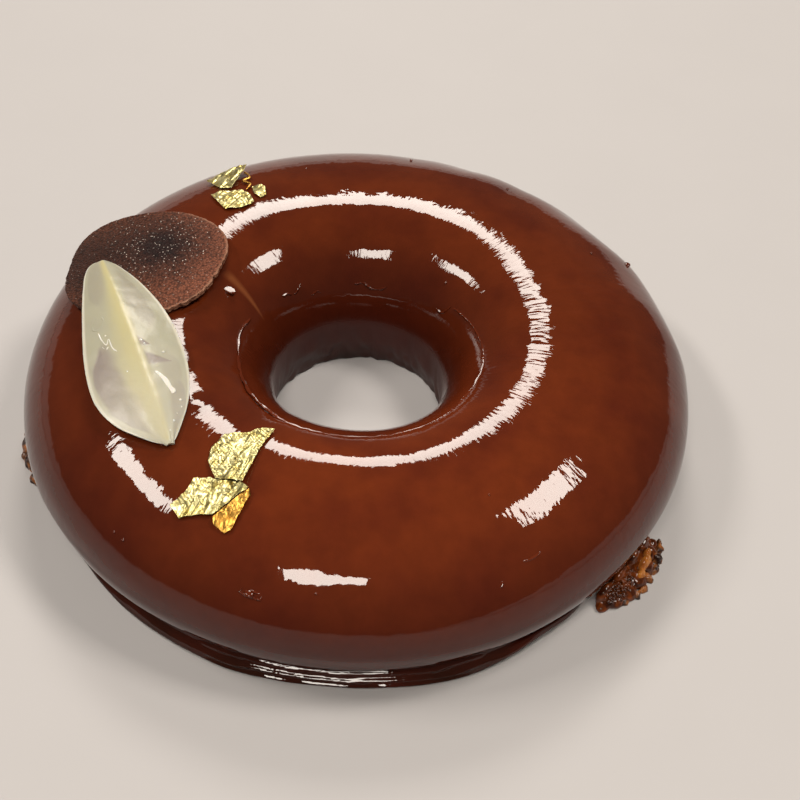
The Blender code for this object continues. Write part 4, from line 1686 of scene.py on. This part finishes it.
@dataclass
class WhiteLeaf:
    """The white chocolate leaf, keeled along its rib and thinner in places."""

    base: Point = (-77.9, 15.2)
    tip: Point = (-48.0, -51.9)
    # Half width, where it is widest, how pointed the base is and how much straighter it gets
    left_side: tuple[float, float, float, float] = (15.1, 0.65, 0.41, 0.8)
    right_side: tuple[float, float, float, float] = (12.6, 0.50, 0.67, 0.2)
    thickness: float = 1.2
    keel: float = 3.4
    rest_height: float = 43.85
    base_lift: float = 1.9
    lift_growth: float = 2.2
    lift_start: float = 0.15
    lift_fade: float = 0.6
    # How far the left side hangs, how much of that the right one curls up, the tip's drop, and
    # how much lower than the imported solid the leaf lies
    side_droop: float = 1.5
    curl_up: float = 0.1
    tip_drop: float = 0.6
    lowered: float = 0.2
    ripple: float = 0.12
    # Length and half width of the flattened leaf, for its patterns
    flat_sizes: Point = (70.0, 13.0)
    # Half width of the yellow rib at the base, and its growth to the tip, on either side
    left_rib: Point = (1.8, 5.2)
    right_rib: Point = (1.0, 1.2)
    rib_strength: float = 0.85
    # The tip, bent down over the glaze, gets painted light that makes it whiter than the middle:
    # from where, and how much
    tip_start: float = 0.42
    tip_painted_light: float = 0.42
    steps_along: int = 170
    steps_across: int = 90
    # Thin greyish places: share along, share across, half sizes of both, and how thin
    thin_places: tuple[tuple[float, ...], ...] = (
        (0.66, -0.64, 0.16, 0.26, 1.0), (0.79, -0.58, 0.13, 0.28, 0.9),
        (0.13, -0.50, 0.13, 0.34, 0.3), (0.27, 0.45, 0.16, 0.26, 0.35),
        (0.84, 0.70, 0.12, 0.26, 0.6), (0.68, 0.60, 0.09, 0.22, 0.3))
    bubbles: tuple[Place, ...] = (
        (0.58, 0.55, 0.45), (0.82, 0.80, 0.5), (0.91, 0.60, 0.45), (0.51, 0.15, 0.5),
        (0.53, 0.20, 0.35), (0.88, 0.72, 0.3), (0.85, 0.86, 0.3), (0.64, -0.30, 0.3),
        (0.43, -0.52, 0.35), (0.95, 0.40, 0.3), (0.30, 0.10, 0.25))
    # Painted shadows beside the rib, as dark wedges: share along, where they start and end across,
    # half length
    painted_shadows: tuple[tuple[float, float, float, float], ...] = (
        (0.60, 0.06, 0.66, 0.042), (0.505, 0.05, 0.30, 0.034))

    def half_width(self, along: float, side: tuple[float, float, float, float]) -> float:
        """Half width of one side at a share of the length.

        Args:
            along: Share of the length from the base.
            side: The side's widest half width, where it is widest, how pointed its base is,
                and how much straighter it gets from there.

        Returns:
            The half width in millimetres.
        """
        widest, widest_at, pointed, straighter = side
        if along < widest_at:
            share = along / widest_at
            return widest * math.sin(math.pi / 2.0 * share) ** (pointed + straighter * share)
        share = (along - widest_at) / (1.0 - widest_at)
        return widest * max(math.cos(math.pi / 2.0 * share ** 1.3), 0.0) ** 0.9

    def height(self, along: float, across: float) -> float:
        """Work out the height of the underside.

        Args:
            along: Share of the length from the base.
            across: Share of the half width, below 0 on the left.

        Returns:
            The height in millimetres.
        """
        fullness = self.half_width(along, self.left_side) / self.left_side[0]
        ridge = self.keel * fullness * (1.0 - math.hypot(across, 0.05) ** 1.3)
        lift = (self.base_lift + self.lift_growth * along) * (
            1.0 - smooth_step((along - self.lift_start) / self.lift_fade))
        droop = self.side_droop * across * across * (1.0 if across < 0.0 else -self.curl_up)
        return (self.rest_height + lift + ridge - droop * math.sin(math.pi * along)
                - self.tip_drop * along ** 8)

    def spot(self, along: float, across: float) -> Vector:
        """Find the place of a spot on the underside.

        Args:
            along: Share of the length from the base.
            across: Share of the half width, below 0 on the left.

        Returns:
            The place in millimetres.
        """
        base, tip = Vector(self.base), Vector(self.tip)
        heading = (tip - base).normalized()
        side = self.left_side if across < 0.0 else self.right_side
        plan = base.lerp(tip, along) + (Vector((-heading.y, heading.x)) * across
                                        * self.half_width(along, side))
        return Vector((plan.x, plan.y, self.height(along, across)))

    def skin(self, along: float, across: float) -> Vector:
        """The place of the upper side at shares of the length and of the half width."""
        return self.spot(along, across) + Vector((0.0, 0.0, self.thickness - self.lowered))

    def flat(self, along: float, across: float, layer: float) -> Vector:
        """The spot on the flattened leaf, in the layer of noise that a pattern reads."""
        return Vector((along * self.flat_sizes[0], across * self.flat_sizes[1], layer))

    def thinness_and_shadow(self, along: float, across: float) -> float:
        """Work out how thin the leaf is at a spot, and where painted shadows darken it beside the
        rib.

        Args:
            along: Share of the length from the base.
            across: Share of the half width, below 0 on the left.

        Returns:
            0 where it is full and unshaded, up to 1 where it is thinnest and in the painted
            shadows.
        """
        thin = 0.0
        for middle, aside, length, width, amount in self.thin_places:
            apart = math.hypot((along - middle) / length, (across - aside) / width)
            apart += 0.25 * bump_at(self.flat(along, across, 0.0), 5.0)
            # Sharp towards the rim, where the mould's wall stood, and soft towards the rib
            soft = 0.25 if abs(across) > abs(aside) else 0.75
            thin = max(thin, amount * (1.0 - smooth_step((apart - 1.0 + soft * 0.5) / soft)))
        # Painted shadows beside the rib
        for middle, start, end, length in self.painted_shadows:
            share = (across - start) / (end - start)
            if 0.0 < share < 1.0:
                apart = abs(along - middle - 0.03 * share) / (length * (1.0 - share) + 0.002)
                painted_shadow = (1.0 - smooth_step((apart - 0.5) / 0.7)) * smooth_step(share * 6.0)
                thin = max(thin, painted_shadow)
        return max(thin, 0.4 * smooth_step(bump_at(self.flat(along, across, 7.0), 6.0)))

    def build(self, white: bpy.types.Material, wet: bpy.types.Material) -> None:
        """Shape a grid into the leaf and mark its rib, rim and thin places, its painted shadows and
        the painted light at its tip.

        Args:
            white: The leaf's finish.
            wet: The finish of its bubbles and drips, whitened partly as a painted highlight.
        """
        sheet = bmesh.new()
        layers = {mark: sheet.verts.layers.float.new(mark.value) for mark in LeafMark}
        bmesh.ops.create_grid(sheet, x_segments=self.steps_along, y_segments=self.steps_across,
                              size=0.5)
        for vertex in sheet.verts:
            along = 0.004 + 0.99 * (vertex.co.x + 0.5)
            across = vertex.co.y * 2.0
            place = self.spot(along, across)
            flesh = math.sin(math.pi * min(along * 1.02, 1.0)) ** 0.5
            start, growth = self.left_rib if across < 0.0 else self.right_rib
            rib_width = (start + growth * along) / self.flat_sizes[1]
            rib = self.rib_strength * math.exp(-((across + 0.02) / rib_width) ** 2)
            # The rim is paler, and painted light whitens the tip
            rim = max(smooth_step((abs(across) - 0.91) / 0.05),
                      self.tip_painted_light * smooth_step((along - self.tip_start) / 0.5))
            thin = self.thinness_and_shadow(along, across)
            ripple = self.ripple * bump_at(self.flat(along, across, 3.0), 4.0)
            keeled = 0.1 * math.exp(-(across / 0.1) ** 2) * flesh
            place.z += keeled - 0.05 * thin + ripple - self.lowered
            vertex.co = place * MM
            vertex[layers[LeafMark.RIB]] = rib
            vertex[layers[LeafMark.THIN]] = thin * (1.0 - rib)
            vertex[layers[LeafMark.RIM]] = rim
        piece = add_piece("cast_white_leaf", sheet, white, "white_chocolate_leaf")
        thicken(piece, self.thickness, 0.25)
        self.build_drops(wet)
        for thread in LEAF_THREADS:
            thread.build(self.skin, wet, Slot.WHITE)
        LEAF_RING.build(self.skin, white, Slot.WHITE)

    def build_drops(self, wet: bpy.types.Material) -> None:
        """Set bubbles and small drops on the leaf, half sunk in.

        Args:
            wet: Their finish, whitened partly as a painted highlight.
        """
        drops = bmesh.new()
        for mark in LeafMark:
            drops.verts.layers.float.new(mark.value)
        for along, across, radius in self.bubbles:
            place = self.skin(along, across) - Vector((0.0, 0.0, 0.35 * radius))
            bmesh.ops.create_icosphere(drops, subdivisions=3, radius=radius * MM,
                                       matrix=Matrix.Translation(place * MM))
        add_piece("leaf_bubbles", drops, wet)


# Gold leaf


@dataclass
class GoldFlake:
    """One torn piece of gold leaf laid on the glaze."""

    name: str
    middle: Point
    # Offsets of the corners from the middle, and how far each stands off the glaze
    corners: tuple[Place, ...]
    thickness: float = 0.08
    # How far it keeps off the glaze, and how high its broad and its sharp folds stand
    gap: float = 0.3
    crumple: float = 0.9
    wrinkle: float = 0.42
    # How far its edge is torn, and how long the tears are
    torn: float = 0.45
    tear: float = 0.9
    cuts: int = 38
    # Whether it takes the darker, oranger copy of the gold, painted shade for a piece in shade
    turned: bool = False
    # Places in the shade of a fold: x, y and how far it reaches
    shades: tuple[Place, ...] = ((-32.0, -61.0, 5.5), (-29.5, -63.5, 5.0), (-43.0, 64.0, 7.0))

    def cut_sheet(self) -> bmesh.types.BMesh:
        """Cut the flat piece into small triangles that face up.

        Returns:
            The sheet in millimetres, with the height of each vertex above the glaze.
        """
        sheet = bmesh.new()
        corners = [sheet.verts.new((self.middle[0] + x, self.middle[1] + y, lift))
                   for x, y, lift in self.corners]
        sheet.faces.new(corners)
        bmesh.ops.triangulate(sheet, faces=sheet.faces)
        bmesh.ops.subdivide_edges(sheet, edges=sheet.edges, cuts=self.cuts, use_grid_fill=True)
        bmesh.ops.triangulate(sheet, faces=sheet.faces)
        bmesh.ops.recalc_face_normals(sheet, faces=sheet.faces)
        if sum(face.normal.z for face in sheet.faces) < 0.0:
            bmesh.ops.reverse_faces(sheet, faces=sheet.faces)
        return sheet

    def build(self, shape: RingShape, gold: bpy.types.Material) -> None:
        """Lay the piece on the ring, crumple it and paint shade into its creases.

        Args:
            shape: The ring that carries it.
            gold: Its finish.
        """
        sheet = self.cut_sheet()
        edge = {vertex for vertex in sheet.verts if vertex.is_boundary}
        marks = sheet.verts.layers.float.new("crease")
        for vertex in sheet.verts:
            x, y, lift = vertex.co
            flat = Vector((x, y, 0.0))
            if vertex in edge:
                x += self.torn * bump_at(flat, self.tear)
                y += self.torn * bump_at(flat, self.tear, 5.0)
            fold = crease_at(Vector((x - 0.4 * y, (y + 0.4 * x) * 0.24, 4.0)), 2.1, 2.0)
            pleat = crease_at(Vector(((x + y) * 0.8, (y - x) * 0.2, 0.0)), 1.5, 7.0)
            tight = smooth_step(0.5 + bump_at(flat, 6.0, 11.0) * 1.6)
            crumple = self.crumple * abs(noise.noise(Vector((x * 0.24, y * 0.24, 3.0))))
            crumple += self.wrinkle * min(fold, 0.8) + self.wrinkle * 0.6 * tight * min(pleat, 0.7)
            height = shape.top(x, y) + self.gap + lift + crumple
            vertex.co = Vector((x, y, height)) * MM
            # Painted shade: dark in the creases and in the shade of folds
            crease = max(1.0 - fold / 0.09, (0.3 + 0.7 * tight) * (1.0 - pleat / 0.12), 0.0)
            for shade_x, shade_y, reach in self.shades:
                near = math.hypot(x - shade_x, y - shade_y) / reach
                crease = max(crease, (1.0 - smooth_step(near)) * (0.35 + 0.9 * bump_at(flat, 1.4)))
            vertex[marks] = crease
        piece = add_piece(f"beaten_{self.name}", sheet, gold, self.name)
        thicken(piece, self.thickness)


GOLD_FLAKES = (
    GoldFlake("gold_leaf_front_upper", (-30.0, -53.5), (
        (-3.8, 6.2, 0.2), (3.0, 7.2, 0.4), (6.0, 9.4, 0.5), (9.4, 9.6, 0.2), (8.2, 6.4, 0.1),
        (6.3, 2.2, 0.1), (4.6, -4.0, 0.5), (2.8, -9.8, 1.1), (-4.6, -8.9, 1.0), (-5.8, -6.6, 0.8),
        (-7.3, -3.2, 0.3), (-6.9, 1.3, 0.2))),
    GoldFlake("gold_leaf_front_lower", (-36.0, -66.5), (
        (-0.4, 4.9, 0.2), (-4.4, 4.4, 0.1), (-6.3, 0.8, 0.2), (-9.9, -2.7, 0.4), (-7.1, -6.0, 0.2),
        (-2.6, -5.6, 0.1), (1.9, -6.1, 0.8), (10.6, 1.2, 1.4), (8.4, 3.3, 0.6))),
    GoldFlake("gold_leaf_front_fold", (-29.6, -71.4), (
        (-4.6, -1.6, 0.6), (-4.2, -3.2, 0.3), (-1.0, -5.6, 0.1), (0.6, -5.0, 0.1),
        (4.8, 4.6, 0.3), (4.4, 6.0, 1.1)), wrinkle=0.25, turned=True),
    GoldFlake("gold_leaf_back_lower", (-43.5, 51.2), (
        (-7.3, 2.6, 0.3), (-4.4, 4.6, 0.2), (2.3, 4.8, 0.1), (5.2, 2.5, 0.1), (7.0, -1.7, 0.2),
        (4.0, -4.4, 0.3), (-1.5, -5.6, 0.2), (-5.0, -1.2, 0.5))),
    GoldFlake("gold_leaf_back_side", (-35.6, 55.8), (
        (-2.6, 2.3, 0.2), (0.4, 2.8, 0.6), (1.7, 1.7, 0.5), (2.5, -2.2, 0.2), (0.9, -3.7, 0.1),
        (-1.3, -1.8, 0.1))),
    GoldFlake("gold_leaf_back_tent", (-45.6, 62.0), (
        (-8.0, 1.6, 0.8), (-0.8, 7.6, 1.9), (4.2, 8.6, 2.4), (3.8, 5.0, 1.9), (1.0, -4.6, 0.5),
        (-2.6, -4.4, 0.3)), crumple=0.6, wrinkle=0.3),
)


def main() -> None:
    """Build the studio and dress the cake."""
    logging.basicConfig(level=logging.INFO, format="%(message)s")
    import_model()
    shape = RingShape()
    Studio().build()
    glaze = MirrorGlaze().material()
    GlazedRing(shape).build(glaze)
    for thread in GLAZE_THREADS:
        thread.build(shape.spot, glaze, Slot.GLAZE)
    CrunchBase(shape).build(PralineCrunch().material(), BURNT_CARAMEL.material(),
                            AMBER_CARAMEL.material())
    DarkOval().build(DarkChocolate().material())
    WhiteLeaf().build(WhiteChocolate().material(), WET_WHITE_AND_HIGHLIGHT.material())
    gold, shaded_gold = GoldLeaf().material(), SHADED_GOLD.material()
    for flake in GOLD_FLAKES:
        flake.build(shape, shaded_gold if flake.turned else gold)
    GOLD_STRAND.build(shape.spot, shaded_gold, Slot.GOLD)


if __name__ == "__main__":
    main()
